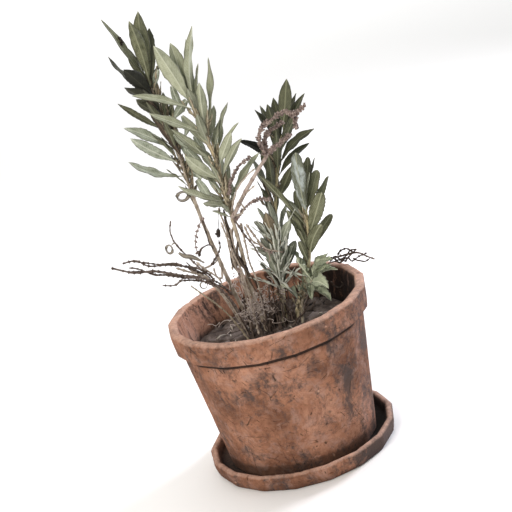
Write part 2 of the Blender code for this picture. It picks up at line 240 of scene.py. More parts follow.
def thrown(profile, sides, flats, chips):
    """A turned clay body from rows of (radius, height, inside, rubbed, corner), listed down the outer side.

    The rows close into a loop. The surface only ever sinks: flats, dents and chips are cut from it.
    """
    rows = []
    for here, after in zip(profile, profile[1:] + profile[:1]):
        steps = max(1, round(math.dist(here[:2], after[:2]) / ROW_STEP))
        rows += [[a + (b - a) * i / steps for a, b in zip(here, after)] for i in range(steps)]
    count = len(rows)
    verts, wear_and_shade, faces = [], [], []
    for i, (radius, height, *marks) in enumerate(rows):
        before, after = rows[i - 1], rows[(i + 1) % count]
        run, rise = after[0] - before[0], after[1] - before[1]
        length = math.hypot(run, rise) or 1
        inward = (rise / length, -run / length)
        for j in range(sides):
            angle = math.tau * j / sides
            local = (angle + FIRST_EDGE) % FLAT - FLAT / 2
            spot = (radius * math.cos(angle), radius * math.sin(angle), height)
            sink = 0.35 * (0.5 + 0.5 * roughly(spot, 21)) + 0.16 * (0.5 + 0.5 * roughly(spot, 4.5, 3))
            sink += marks[1] * max(0, roughly(spot, 3.4, 9) - 0.22) * chips
            flat = flats * radius * (1 - math.cos(FLAT / 2) / math.cos(local))
            r = max(0, radius + inward[0] * sink - flat)
            verts.append((r * math.cos(angle), r * math.sin(angle), height + inward[1] * sink))
            wear_and_shade.append(marks)
            faces.append((i * sides + j, i * sides + (j + 1) % sides,
                          (i + 1) % count * sides + (j + 1) % sides, (i + 1) % count * sides + j))
    return verts, faces, wear_and_shade


SAUCER_SIDES = 204
saucer_rows = [
    (0.5, 5.2, 1, 0, 1), (60, 5.1, 1, 0, 1), (75.4, 5.2, 1, 0, 1), (77.0, 6.4, 1, 0, 0.9),
    (78.3, 11.5, 1, 0, 0.5), (78.9, 13.6, 0.5, 0.3, 0.2), (79.9, 14.9, 0, 0.8, 0), (81.4, 15.6, 0, 1, 0),
    (83.4, 15.6, 0, 1, 0), (85.0, 14.7, 0, 0.8, 0), (85.9, 12.9, 0, 0.3, 0), (85.6, 10.0, 0, 0, 0),
    (84.4, 5.4, 0, 0, 0.1), (83.2, 1.6, 0, 0.2, 0.3), (82.0, 0.2, 0, 0.3, 0.5), (80.5, 0.0, 0, 0, 0.5),
    (0.5, 0.0, 0, 0, 0.3),
]
verts, faces, wear_and_shade = thrown(saucer_rows, SAUCER_SIDES, 0.9, 1.6)
saucer_clay = fired_clay("fired_clay_saucer", 0.9, 0.32, (0.31, 0.02, 0.11))
saucer = piece("saucer_dish", verts, faces, saucer_clay, {"wear_and_shade": wear_and_shade})
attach(saucer, "root")
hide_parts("saucer")

# ---- Pot -------------------------------------------------------------------------------------------------
# A thrown terracotta flowerpot with a thick collar round its mouth and a drain hole in its floor. The collar
# stands proud over a crease darkened with dirt and painted shade, its lip is rubbed pale, and soot and
# scratches cover the wall; a little more soot is laid on the right-hand side as painted shade.

POT_SIDES = 238
pot_rows = [
    (83.2, 143.3, 0, 1, 0), (86.6, 143.3, 0, 1, 0), (88.8, 142.9, 0, 1, 0), (89.8, 141.8, 0, 0.8, 0),
    (89.9, 140.0, 0, 0.3, 0), (89.2, 132.0, 0, 0, 0), (88.5, 124.6, 0, 0.1, 0), (88.2, 123.0, 0, 0.2, 0),
    (87.3, 122.2, 0, 0, 0.9), (85.4, 121.9, 0, 0, 1), (83.4, 121.9, 0, 0, 1), (82.8, 120.6, 0, 0, 1),
    (82.9, 118.6, 0, 0, 1), (83.0, 118.0, 0, 0, 0.2), (82.9, 116.6, 0, 0, 0), (82.6, 114.0, 0, 0, 0),
    (75.6, 62.0, 0, 0, 0), (70.2, 19.0, 0, 0, 0), (69.9, 16.5, 0, 0, 0.5), (69.0, 9.0, 0, 0, 0.75),
    (68.6, 6.6, 0, 0.2, 0.6), (67.4, 5.6, 0, 0.2, 0.8), (64.0, 5.5, 0, 0, 0.8), (9.0, 5.5, 0, 0, 0.6),
    (8.1, 6.4, 0, 0.3, 0.5), (8.1, 12.6, 1, 0, 0.8), (9.0, 13.5, 1, 0, 1), (58.0, 13.5, 1, 0, 1),
    (61.4, 15.2, 1, 0, 1), (73.8, 100.0, 1, 0, 1), (75.2, 110.0, 1, 0, 1), (75.6, 113.0, 1, 0, 0.75),
    (76.0, 116.0, 1, 0, 0.15), (76.8, 122.1, 1, 0, 0), (79.8, 138.0, 1, 0, 0), (80.6, 141.2, 0.8, 0.3, 0),
    (81.4, 142.8, 0.2, 0.9, 0),
]
verts, faces, wear_and_shade = thrown(pot_rows, POT_SIDES, 0.85, 2.2)
pot_clay = fired_clay("fired_clay_pot", 0.82, 0.08, (0.0, 0.0, 0.0))
pot = piece("pot_body", verts, faces, pot_clay, {"wear_and_shade": wear_and_shade})
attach(pot, "root")
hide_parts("pot")

# ---- Soil ------------------------------------------------------------------------------------------------
# Peat compost that has dried to a hard plug and drawn back from the wall. Its crust has lifted in tilted
# slabs with ragged edges, and crumbs have rolled into the low places.

SOIL_EDGE, SOIL_EDGE_Z, SOIL_CROWN_Z = 74.2, 115.5, 119.5
SHRUNK_BY, SHRUNK_AT, SHRUNK_OVER = 12, 1.85, 0.42
NOISE_SEED = 4

# Unseeded, noise_vector starts from the clock, and the crust and the fibres would differ from run to run.
noise.seed_set(NOISE_SEED)


def soil_top(x, y):
    """Height of the plug's smooth dome, which the stems were planted through."""
    share = min(1.0, math.hypot(x, y) / SOIL_EDGE)
    return SOIL_CROWN_Z + (SOIL_EDGE_Z - SOIL_CROWN_Z) * share ** 2


def crust(x, y):
    """Height of the broken crust: slabs 31 by 17 mm, each tilted its own way, with cracks between them."""
    spot = Vector((x / 31, y / 17, 0.4)) + 0.16 * noise.noise_vector(Vector((x / 13, y / 13, 2)))
    (near, far, *_), (centre, *_) = noise.voronoi(spot)
    tilt = noise.noise_vector(centre * 3.1)
    slab = 1.7 * tilt.z + 7.0 * ((spot.x - centre.x) * tilt.x + (spot.y - centre.y) * tilt.y)
    gap = max(0.0, 1 - (far - near) / 0.09)
    lumps = 0.35 * roughly((x, y, 1), 7) + 0.2 * roughly((x, y, 2), 2.4)
    return soil_top(x, y) - 0.6 + slab + lumps - 3.2 * gap


# The plug has shrunk furthest from the wall at the back left. Its flank is narrower below the crust, out of
# sight, down to the pot's floor.
SOIL_SIDES, SOIL_RINGS = 230, 74
FLANK = ((64.0, 103), (68.5, 84), (61.0, 17), (58.8, 13.9))
verts, faces, depth = [(0, 0, crust(0, 0))], [], [(0, 0, 0)]
for i in range(1, SOIL_RINGS + 1):
    share = (i / SOIL_RINGS) ** 0.85
    for j in range(SOIL_SIDES):
        angle = math.tau * j / SOIL_SIDES
        shrunk = SHRUNK_BY * math.exp(-((angle - SHRUNK_AT) / SHRUNK_OVER) ** 2)
        torn = 3.4 * abs(roughly((40 * math.cos(angle), 40 * math.sin(angle), 5), 15))
        edge = SOIL_EDGE - 0.9 - shrunk - torn
        x, y = edge * share * math.cos(angle), edge * share * math.sin(angle)
        fall = max(0.0, share - 0.95) / 0.05
        verts.append((x, y, crust(x, y) - 6.0 * fall ** 2))
        depth.append((fall, crust(x, y) - soil_top(x, y), 0))
for radius, height in FLANK:
    for j in range(SOIL_SIDES):
        angle = math.tau * j / SOIL_SIDES
        verts.append((radius * math.cos(angle), radius * math.sin(angle), height))
        depth.append((1, 0, 0))
verts.append((0, 0, FLANK[-1][1]))
depth.append((1, 0, 0))
for j in range(SOIL_SIDES):
    after = (j + 1) % SOIL_SIDES
    faces.append((0, 1 + j, 1 + after))
    for i in range(SOIL_RINGS + len(FLANK) - 1):
        low = 1 + i * SOIL_SIDES
        faces.append((low + j, low + SOIL_SIDES + j, low + SOIL_SIDES + after, low + after))
    last = 1 + (SOIL_RINGS + len(FLANK) - 1) * SOIL_SIDES
    faces.append((last + j, len(verts) - 1, last + after))


def dry_peat(name):
    """Dried peat, quite matt: grey-brown in 7 mm lumps, dusty on the high slabs, and almost black in its
    cracks and where it falls away at the edge, which is painted shade.

    The mesh's "depth" attribute gives the fall over the edge (x) and the height over the smooth dome (y).
    """
    made, tree, shader = finish(name, 0.96)
    place = add(tree, "TexCoord").outputs["Object"]
    fibre = add(tree, "VectorMath", {0: place, 1: (1, 0.35, 1)}, operation="MULTIPLY").outputs[0]
    coarse = add(tree, "TexNoise", {"Vector": fibre, "Scale": 1000 / 7, "Detail": 6.0, "Roughness": 0.7})
    colour = add(tree, "ValToRGB", {0: coarse.outputs["Fac"]},
                 ramp=[(0.32, "#2c2320"), (0.52, "#51463f"), (0.72, "#756a66")]).outputs[0]
    depth = add(tree, "Attribute", attribute_name="depth").outputs["Vector"]
    fall, high, _ = add(tree, "SeparateXYZ", {0: depth}).outputs
    dust = add(tree, "MapRange", {0: high, 1: 0.2, 2: 2.2, 4: 0.7}).outputs[0]
    colour = add(tree, "Mix", {0: dust, 6: colour, 7: linear("#978b8a")}, data_type="RGBA").outputs[2]
    # Cracks below the dome and the edge that falls away to the wall go almost black: painted shade.
    low = add(tree, "MapRange", {0: high, 1: -1.4, 2: -2.6, 4: 0.95}).outputs[0]
    low = add(tree, "Math", {0: low, 1: fall}, operation="MAXIMUM").outputs[0]
    colour = add(tree, "Mix", {0: low, 6: colour, 7: linear("#0d0a09")}, data_type="RGBA").outputs[2]
    tree.links.new(colour, shader.inputs["Base Color"])
    grain = add(tree, "TexNoise", {"Vector": place, "Scale": 1000 / 1.6, "Detail": 5.0, "Roughness": 0.75})
    bump = add(tree, "Bump", {"Height": grain.outputs["Fac"], "Strength": 0.7, "Distance": 0.0005})
    tree.links.new(bump.outputs[0], shader.inputs["Normal"])
    return made


peat = dry_peat("dry_peat")
soil = piece("soil_plug", verts, faces, peat, {"depth": depth})
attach(soil, "root")
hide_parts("soil")


def lump(centre, size, seed):
    """A crumb: a small icosphere pushed in and out of round."""
    shape = bmesh.new()
    bmesh.ops.create_icosphere(shape, subdivisions=1, radius=1)
    points = [Vector(v.co) for v in shape.verts]
    tris = [tuple(v.index for v in f.verts) for f in shape.faces]
    shape.free()
    points = [centre + p * size * 1.1046 * (1 + 0.45 * noise.noise(p * 1.3 + Vector((seed, 0, 0))))
              for p in points]
    return points, tris


chance = random.Random(41)
verts, faces = [], []
for number in range(90):
    radius = SOIL_EDGE * (0.95 * math.sqrt(chance.random()) if number % 3 else 0.35 * chance.random())
    angle = chance.uniform(0, math.tau)
    x, y = radius * math.cos(angle), radius * math.sin(angle)
    size = chance.choice((0.4, 0.5, 0.5, 0.6, 0.8, 1.1))
    points, tris = lump(Vector((x, y, crust(x, y) + size * 0.4)), size, number * 3.7)
    faces += [tuple(len(verts) + k for k in tri) for tri in tris]
    verts += points
crumbs = piece("soil_crumbs", verts, faces, peat, {"depth": [(0, 0.4, 0)] * len(verts)}, smooth=False)
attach(crumbs, "root")

# ---- Tall shoot ------------------------------------------------------------------------------------------
# The tallest stem, leaning left: four-sided wood under grey bark, ringed with the scars of fallen leaves and
# rooted in the soil. Its leaves have dried olive; some are drawn almost black as painted shade, and the
# lower ones are pale, partly as painted highlight, and frayed.

ROOT_DEPTH = 12.0


def smooth_route(points, step):
    """A smooth curve through the points, sampled about every step millimetres."""
    points = [Vector(p) for p in points]
    ends = [2 * points[0] - points[1], *points, 2 * points[-1] - points[-2]]
    route = []
    for a, b, c, d in zip(ends, ends[1:], ends[2:], ends[3:]):
        count = max(1, round((c - b).length / step))
        for i in range(count):
            t = i / count
            route.append(0.5 * (2 * b + (c - a) * t + (2 * a - 5 * b + 4 * c - d) * t * t
                                + (3 * b - a - 3 * c + d) * t ** 3))
    return [*route, points[-1]]


def planted(route):
    """(root, route above the soil) for a stem whose route starts with its (x, y) on the soil."""
    (x, y), *rest = route
    base = Vector((x, y, soil_top(x, y)))
    along = (Vector(rest[0]) - base).normalized()
    return base - along * ROOT_DEPTH, [base, *[Vector(p) for p in rest]]


def rod(route, start, end, sides=10, step=1.3, knots=14.0, swell=0.22, angular=0.07, rough=0.12, seed=0.0):
    """A woody rod along a route: (points, faces, lie).

    It tapers from one radius to the other and swells at a knot every so many millimetres. angular squares
    its section, rough makes it uneven, and lie is (share along, knottiness, 0) for each point.
    """
    path = smooth_route(route, step)
    count = len(path)
    run = np.concatenate([[0], np.cumsum([(b - a).length for a, b in zip(path, path[1:])])])
    points, lie, tris = [], [], []
    heading = (path[1] - path[0]).normalized()
    side = heading.orthogonal().normalized()
    for i, here in enumerate(path):
        ahead = (path[min(i + 1, count - 1)] - path[max(i - 1, 0)]).normalized()
        side = (side - ahead * side.dot(ahead)).normalized()
        over = ahead.cross(side)
        share = run[i] / run[-1]
        beat = (run[i] / knots + 0.3 * noise.noise(Vector((run[i] / 31, seed, 0)))) % 1
        knot = math.exp(-((beat - 0.5) / 0.09) ** 2)
        radius = (start + (end - start) * share) * (1 + swell * knot)
        if i in (0, count - 1):
            radius *= 0.45
        for j in range(sides):
            turn = math.tau * j / sides
            spot = Vector((math.cos(turn) * 1.2, math.sin(turn) * 1.2 + seed, run[i] / 5))
            r = radius * (1 + angular * math.cos(4 * turn) + rough * noise.noise(spot)
                          + 0.5 * rough * noise.noise(spot * 3.1))
            points.append(here + (side * math.cos(turn) + over * math.sin(turn)) * r)
            lie.append((share, knot, 0))
    for i in range(count - 1):
        for j in range(sides):
            k = (j + 1) % sides
            tris.append((i * sides + j, i * sides + k, (i + 1) * sides + k, (i + 1) * sides + j))
    tris.append(tuple(range(sides))[::-1])
    tris.append(tuple((count - 1) * sides + j for j in range(sides)))
    return points, tris, lie


def joined(parts):
    """One list of points, one of faces and one of each kind of mark, from several parts' lists."""
    points, tris, marks = [], [], [[] for _ in parts[0][2:]]
    for more, shapes, *values in parts:
        tris += [tuple(len(points) + k for k in shape) for shape in shapes]
        points += list(more)
        for kept, added in zip(marks, values):
            kept += added
    return points, tris, *marks


def woody(name, parts, bark):
    """A piece of one or more rods."""
    points, tris, lie = joined(parts)
    return piece(name, points, tris, bark, {"lie": lie})


def dead_bark(name, pale, dark, crack, tip=None):
    """Dead bark: matt fibres 1.3 mm wide and upright, darker at the knots, split by fine dark cracks.

    Bark with a tip colour has worn away over the upper half of its stem and shows the wood.
    """
    made, tree, shader = finish(name, 0.88)
    lie = add(tree, "Attribute", attribute_name="lie").outputs["Vector"]
    share, knot, _ = add(tree, "SeparateXYZ", {0: lie}).outputs
    place = add(tree, "TexCoord").outputs["Object"]
    strips = add(tree, "VectorMath", {0: place, 1: (1, 1, 0.14)}, operation="MULTIPLY").outputs[0]
    fibre = add(tree, "TexNoise", {"Vector": strips, "Scale": 1000 / 1.3, "Detail": 4.0, "Roughness": 0.65})
    patch = add(tree, "TexNoise", {"Vector": place, "Scale": 1000 / 9, "Detail": 5.0, "Roughness": 0.7})
    mixed = add(tree, "Math", {0: fibre.outputs["Fac"], 1: 0.6, 2: patch.outputs["Fac"]},
                operation="MULTIPLY_ADD").outputs[0]
    tone = add(tree, "MapRange", {0: mixed, 1: 0.60, 2: 1.0}).outputs[0]
    colour = add(tree, "Mix", {0: tone, 6: linear(dark), 7: linear(pale)}, data_type="RGBA").outputs[2]
    if tip:
        fresh = add(tree, "MapRange", {0: share, 1: 0.45, 2: 0.8, 4: 0.8}).outputs[0]
        colour = add(tree, "Mix", {0: fresh, 6: colour, 7: linear(tip)}, data_type="RGBA").outputs[2]
    scar = add(tree, "Math", {0: knot, 1: 0.5}, operation="MULTIPLY").outputs[0]
    colour = add(tree, "Mix", {0: scar, 6: colour, 7: linear(dark)}, data_type="RGBA").outputs[2]
    split = add(tree, "MapRange", {0: fibre.outputs["Fac"], 1: 0.42, 2: 0.34, 4: 0.8}).outputs[0]
    colour = add(tree, "Mix", {0: split, 6: colour, 7: linear(crack)}, data_type="RGBA").outputs[2]
    tree.links.new(colour, shader.inputs["Base Color"])
    bump = add(tree, "Bump", {"Height": fibre.outputs["Fac"], "Strength": 0.8, "Distance": 0.0004})
    tree.links.new(bump.outputs[0], shader.inputs["Normal"])
    return made


ALONG = 30
ACROSS = np.array([-1, -0.86, -0.62, -0.36, -0.13, 0, 0.13, 0.36, 0.62, 0.86, 1])


def point_up(route, share):
    """The point that lies this share of the way up a route."""
    lengths = [(b - a).length for a, b in zip(route, route[1:])]
    left = share * sum(lengths)
    for a, b, length in zip(route, route[1:], lengths):
        if left <= length:
            return a + (b - a) * (left / length)
        left -= length
    return route[-1]


def blade(origin, stem_radius, row, seed, form=(1.15, 0.95), cup=13.0, ripple=0.5, curl=0.0, ragged=1.0):
    """One leaf: (points, faces, blade marks, leaf marks).

    row is turn round +Z from +X, lean from upright, length, width, twist of the blade about its axis, bow
    (the share of the length by which it arches to its upper face) and tone, which darkens or lightens the
    whole
    leaf: partly its own colour, partly painted shade. form shapes the outline, cup folds the halves up from
    the midrib, ripple waves the margins, curl rolls them in and ragged notches them.
    """
    turn, lean, length, width, twist, bow, tone = row
    chance = random.Random(seed)
    turn, lean = math.radians(turn), math.radians(lean)
    outward = np.array([math.cos(turn), math.sin(turn), 0])
    chord = outward * math.sin(lean) + np.array([0, 0, math.cos(lean)])
    upper = np.array([0, 0, math.sin(lean)]) - outward * math.cos(lean)
    side = np.cross(chord, upper)
    t = np.linspace(0, 1, ALONG)
    base = np.array(origin) + outward * stem_radius * 0.6
    tip = np.array(origin) + chord * length
    roll = np.radians(twist) + np.radians(chance.uniform(-26, 26)) * (t - 0.5)
    cup, ripple = cup * chance.uniform(0.6, 1.9), ripple * chance.uniform(0.8, 2.2)
    face = np.cos(roll)[:, None] * upper + np.sin(roll)[:, None] * side
    across = np.cross(chord, face)
    arch = 4 * t * (1 - t)
    sway = chance.uniform(-0.025, 0.025) * length
    droop = chance.uniform(-0.02, 0.03) * length
    spine = (base + (tip - base) * t[:, None] + upper * (arch * bow * length)[:, None]
             + across * (arch * sway)[:, None] + face * (droop * np.sin(t * 5.2) * t)[:, None])
    inner = np.clip((t - 0.09) / 0.91, 0, 1)
    peak = form[0] / (form[0] + form[1])
    shape = inner ** form[0] * (1 - inner) ** form[1] / (peak ** form[0] * (1 - peak) ** form[1])
    half = np.maximum(0.5 - 0.15 * t, width / 2 * shape)
    half[-1] = 0.12
    points = np.zeros((ALONG, len(ACROSS), 3))
    phase, beats = chance.uniform(0, 6.28), chance.uniform(1.6, 3.2)
    for k, s in enumerate(ACROSS):
        reach = abs(s)
        teeth = 0.04 * np.sin(t * length * 2.3 + phase) + 0.025 * np.sin(t * length * 5.1)
        notch = 1 + teeth * (reach == 1) * ragged
        fold = math.radians(cup) + curl * reach
        wave = ripple * np.sin(beats * t * 6.28 + phase + (2.1 if s > 0 else 0)) * reach ** 2 * shape
        groove = -0.28 * math.exp(-(s / 0.12) ** 2) * np.minimum(1, half)
        width_here = s * half * notch * math.cos(fold)
        lift = reach * half * math.sin(fold) + wave + groove
        points[:, k] = spine + across * width_here[:, None] + face * lift[:, None]
    columns = len(ACROSS)
    quads = [(i * columns + k, i * columns + k + 1, (i + 1) * columns + k + 1, (i + 1) * columns + k)
             for i in range(ALONG - 1) for k in range(columns - 1)]
    luck = chance.random()
    marks = [(s, share * length, luck) for share in t for s in ACROSS]
    depth = [(share, tone, wide) for share, wide in zip(t, half) for _ in ACROSS]
    return points.reshape(-1, 3), quads, marks, depth


LEAF, THIN_LEAF = 0.42, 0.35


def foliage(name, parts, leaf, thickness=LEAF):
    """A piece of one or more leaves, thickened to a dry leaf's section."""
    points, tris, marks, depth = joined(parts)
    made = piece(name, points, tris, leaf, {"blade": marks, "leaf": depth})
    skin = made.modifiers.new("Thickness", "SOLIDIFY")
    skin.thickness = thickness * MM
    skin.offset = 0
    return made


def dry_leaf(name, light, dark, rib, burnt, bloom=0.0):
    """A dead felted leaf: matt, mottled, greyer where its hairs remain, with paler midrib and side veins.

    The veins stand 2.6 mm apart. The hairs are a tenth of a millimetre apart and are drawn ten times as
    coarse, to show at all. Between the midrib and the margins the colour runs in streaks along the leaf.
    """
    made, tree, shader = finish(name, 0.8)
    place = add(tree, "TexCoord").outputs["Object"]
    blade_marks = add(tree, "Attribute", attribute_name="blade").outputs["Vector"]
    s, along, luck = add(tree, "SeparateXYZ", {0: blade_marks}).outputs
    leaf_marks = add(tree, "Attribute", attribute_name="leaf").outputs["Vector"]
    share, tone, half = add(tree, "SeparateXYZ", {0: leaf_marks}).outputs
    reach = add(tree, "Math", {0: s}, operation="ABSOLUTE").outputs[0]
    patch = add(tree, "TexNoise", {"Vector": place, "Scale": 1000 / 7, "Detail": 5.0, "Roughness": 0.65})
    hairs = add(tree, "TexNoise", {"Vector": place, "Scale": 1000 / 1.1, "Detail": 3.0, "Roughness": 0.7})
    out = add(tree, "Math", {0: s, 1: half}, operation="MULTIPLY").outputs[0]
    far = add(tree, "Math", {0: along, 1: 0.13}, operation="MULTIPLY").outputs[0]
    apart = add(tree, "Math", {0: luck, 1: 60.0}, operation="MULTIPLY").outputs[0]
    laid = add(tree, "CombineXYZ", {0: out, 1: far, 2: apart}).outputs[0]
    streaks = add(tree, "TexNoise", {"Vector": laid, "Scale": 0.75, "Detail": 3.0, "Roughness": 0.65})
    mixed = add(tree, "Math", {0: hairs.outputs["Fac"], 1: 0.6, 2: patch.outputs["Fac"]},
                operation="MULTIPLY_ADD").outputs[0]
    mixed = add(tree, "Math", {0: streaks.outputs["Fac"], 1: 0.7, 2: mixed},
                operation="MULTIPLY_ADD").outputs[0]
    mixed = add(tree, "Math", {0: luck, 1: 0.2, 2: mixed}, operation="MULTIPLY_ADD").outputs[0]
    level = add(tree, "MapRange", {0: mixed, 1: 1.0, 2: 1.5}).outputs[0]
    colour = add(tree, "Mix", {0: level, 6: linear(dark), 7: linear(light)}, data_type="RGBA").outputs[2]

    # Side veins run out and forwards from the midrib.
    from_rib = add(tree, "Math", {0: reach, 1: half}, operation="MULTIPLY").outputs[0]
    slant = add(tree, "Math", {0: from_rib, 1: -1.25, 2: along}, operation="MULTIPLY_ADD").outputs[0]
    beat = add(tree, "Math", {0: slant, 1: 2.6}, operation="DIVIDE").outputs[0]
    beat = add(tree, "Math", {0: beat}, operation="FRACT").outputs[0]
    beat = add(tree, "Math", {0: beat, 1: 0.5}, operation="SUBTRACT").outputs[0]
    beat = add(tree, "Math", {0: beat}, operation="ABSOLUTE").outputs[0]
    vein = add(tree, "MapRange", {0: beat, 1: 0.13, 2: 0.03, 4: 0.35}).outputs[0]
    colour = add(tree, "Mix", {0: vein, 6: colour, 7: linear(rib)}, data_type="RGBA").outputs[2]

    # Margins and tips have gone brown, in blotches 7 mm across and as a thin line round the edge.
    edge = add(tree, "Math", {0: reach, 1: 0.5, 2: patch.outputs["Fac"]},
               operation="MULTIPLY_ADD").outputs[0]
    edge = add(tree, "Math", {0: share, 1: 0.25, 2: edge}, operation="MULTIPLY_ADD").outputs[0]
    scorch = add(tree, "MapRange", {0: edge, 1: 1.08, 2: 1.42, 4: 0.75}).outputs[0]
    colour = add(tree, "Mix", {0: scorch, 6: colour, 7: linear(burnt)}, data_type="RGBA").outputs[2]
    brim = add(tree, "MapRange", {0: reach, 1: 0.82, 2: 1.0, 4: 0.6}).outputs[0]
    colour = add(tree, "Mix", {0: brim, 6: colour, 7: linear(burnt)}, data_type="RGBA").outputs[2]

    # The midrib is a millimetre wide and pale. Each leaf's tone then darkens or lightens all of it: partly
    # the leaf's own colour, partly painted shade, which draws leaves with their side in shade almost black.
    ridge = add(tree, "MapRange", {0: from_rib, 1: 0.62, 2: 0.22, 4: 0.85}).outputs[0]
    colour = add(tree, "Mix", {0: ridge, 6: colour, 7: linear(rib)}, data_type="RGBA").outputs[2]
    tone_and_painted_shade = add(tree, "CombineXYZ", {0: tone, 1: tone, 2: tone}).outputs[0]
    colour = add(tree, "Mix", {0: 1.0, 6: colour, 7: tone_and_painted_shade}, data_type="RGBA",
                 blend_type="MULTIPLY").outputs[2]

    # Some leaves carry pale grey-blue streaks, in runs 5 mm wide: painted sheen.
    if bloom:
        drawn = add(tree, "VectorMath", {0: place, 1: (1, 1, 0.22)}, operation="MULTIPLY").outputs[0]
        dusty = add(tree, "TexNoise", {"Vector": drawn, "Scale": 1000 / 5, "Detail": 4.0, "Roughness": 0.7})
        painted_sheen = add(tree, "MapRange", {0: dusty.outputs["Fac"], 1: 0.46, 2: 0.62, 4: bloom}).outputs[0]
        colour = add(tree, "Mix", {0: painted_sheen, 6: colour, 7: linear("#b9c2c0")}, data_type="RGBA").outputs[2]
    tree.links.new(colour, shader.inputs["Base Color"])

    # The veins and the felt stand up, and the felt gives a faint sheen.
    raised = add(tree, "Math", {0: vein, 1: 1.6, 2: hairs.outputs["Fac"]},
                 operation="MULTIPLY_ADD").outputs[0]
    bump = add(tree, "Bump", {"Height": raised, "Strength": 0.5, "Distance": 0.0003})
    tree.links.new(bump.outputs[0], shader.inputs["Normal"])
    shader.inputs["Sheen Weight"].default_value = 0.08
    shader.inputs["Sheen Roughness"].default_value = 0.6
    return made


def remnants(path, stem_radius, seed, count, low, high, longest):
    """Withered leaf bases and shreds that still clasp a stem between two shares of its height."""
    chance = random.Random(seed)
    parts = []
    for number in range(count):
        up = chance.uniform(low, high)
        row = (chance.uniform(0, 360), chance.choice((7, 10, 14, 20, 34)),
               longest * chance.uniform(0.4, 1.0), chance.uniform(1.3, 3.6), chance.uniform(-70, 70),
               chance.uniform(-0.06, 0.08), chance.uniform(0.55, 1.15))
        parts.append(blade(point_up(path, up), stem_radius, row, seed + number, form=(0.45, 0.8), cup=30.0,
                           ripple=0.9, ragged=3.0))
    return parts


def shoot(name, spec, rows, extra, behind, bark, leaf, shreds, **looks):
    """A stem with its leaves: one piece for each large leaf, one for all the small ones and one for shreds.

    rows and extra give the large and the small leaves, each row opening with its share of the way up. behind
    has the shares of small leaves at the back. shreds is their material and how remnants() lays them out.
    """
    start, end, route = spec
    root, above = planted(route)
    stem = woody(name + "_stem", [rod([root, *above], start, end, seed=len(rows) * 1.7)], bark)
    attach(stem, "root")
    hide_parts("stem_" + name)
    path = smooth_route(above, 13)
    for number, (up, *row) in enumerate(rows, 1):
        part = blade(point_up(path, up), start + (end - start) * up, row, number * 7 + len(rows), **looks)
        made = foliage(f"{name}_leaf_{number:02d}", [part], leaf)
        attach(made, "root")
        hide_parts(f"leaf_{name}_{number:02d}")
    chance = random.Random(len(name) * 31 + len(rows))
    extra = list(extra)
    for up in behind:
        extra.append((up + chance.uniform(-0.02, 0.02), chance.uniform(50, 130), chance.uniform(24, 52),
                      chance.uniform(32, 52), chance.uniform(7, 10), chance.uniform(-40, 40),
                      chance.uniform(-0.05, 0.05), chance.uniform(0.6, 0.95)))
    parts = [blade(point_up(path, up), start + (end - start) * up, row, number * 13 + 5, **looks)
             for number, (up, *row) in enumerate(extra)]
    small = foliage(name + "_small_leaves", parts, leaf)
    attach(small, "root")
    material, *where = shreds
    made = foliage(name + "_leaf_shreds", remnants(path, start, *where), material, THIN_LEAF)
    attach(made, "root")
    return path


bark_grey = dead_bark("dead_bark_grey", "#c4b8a8", "#857868", "#3a302a")
shred_brown = dry_leaf("dry_shreds_brown", "#8d8069", "#4e4334", "#a2957c", "#2c241b")
leaf_olive = dry_leaf("dry_leaf_olive", "#87896c", "#4d4f39", "#9a9b7f", "#231f16")
leaf_frayed = dry_leaf("dry_leaf_frayed", "#b6bdab", "#6a705c", "#c8ccbc", "#3a3325")
tall_spec = (2.1, 1.2, [(-15, 6.2), (-22, 7, 145), (-28, 10, 180), (-34, 12, 228), (-36, 12, 260),
                        (-38, 13, 292), (-41, 14, 316), (-44, 16, 349)])
tall_leaves = [
    (1.00, 185, 20, 69, 9.5, -30, 0.01, 0.95), (1.00, 265, 14, 61, 12.0, 5, 0.03, 1.0),
    (1.00, 330, 8, 64, 14.5, -50, 0.02, 0.9), (0.969, 170, 34, 49, 8.0, -15, -0.09, 0.35),
    (0.959, 235, 42, 44, 13.0, 40, 0.0, 0.13), (0.824, 165, 48, 49, 6.0, -50, -0.03, 0.6),
    (0.752, 170, 54, 48, 10.0, -40, 0.02, 1.15), (0.700, 205, 47, 52, 10.5, 60, -0.03, 1.1),
    (0.649, 195, 58, 52, 9.0, -40, -0.08, 1.0),
]
tall_small = [
    (1.00, 45, 20, 49, 13.0, 15, 0.0, 0.5), (0.886, 140, 54, 29, 9.0, -30, 0.0, 0.35),
    (1.00, 35, 44, 22, 7.0, 0, 0.0, 0.5), (0.928, 215, 48, 36, 12.0, 20, 0.0, 0.2),
    (0.897, 240, 30, 30, 10.0, -20, 0.0, 0.25), (0.876, 200, 40, 28, 8.0, 50, 0.0, 0.3),
    (0.990, 150, 16, 34, 6.0, 30, 0.0, 0.6), (0.793, 225, 22, 42, 8.0, 30, 0.0, 0.55),
    (0.742, 250, 18, 38, 7.0, -20, 0.0, 0.6), (0.711, 185, 30, 34, 7.0, 20, 0.0, 0.7),
    (0.773, 20, 14, 36, 6.0, 30, 0.0, 0.65), (0.690, 170, 20, 30, 6.0, 10, 0.0, 0.7),
    (0.607, 200, 36, 26, 5.0, 0, 0.0, 0.8), (0.855, 30, 40, 22, 5.0, 0, 0.0, 0.6),
]
shoot("tall", tall_spec, tall_leaves, tall_small, (0.7, 0.78, 0.85, 0.93, 0.98), bark_grey, leaf_olive,
      (shred_brown, 400, 54, 0.50, 0.99, 30.0))
# The three lowest leaves take the pale frayed material: partly their own colour, partly painted highlight.
for number in (7, 8, 9):
    bpy.data.objects[f"tall_leaf_{number:02d}"].material_slots[0].material = leaf_frayed

# ---- Pale shoot ------------------------------------------------------------------------------------------
# The shoot nearest the middle. Its leaves died last and kept their grey felt, so they are pale sage with a
# darker fold, on tan wood that is stripped of bark near the top.

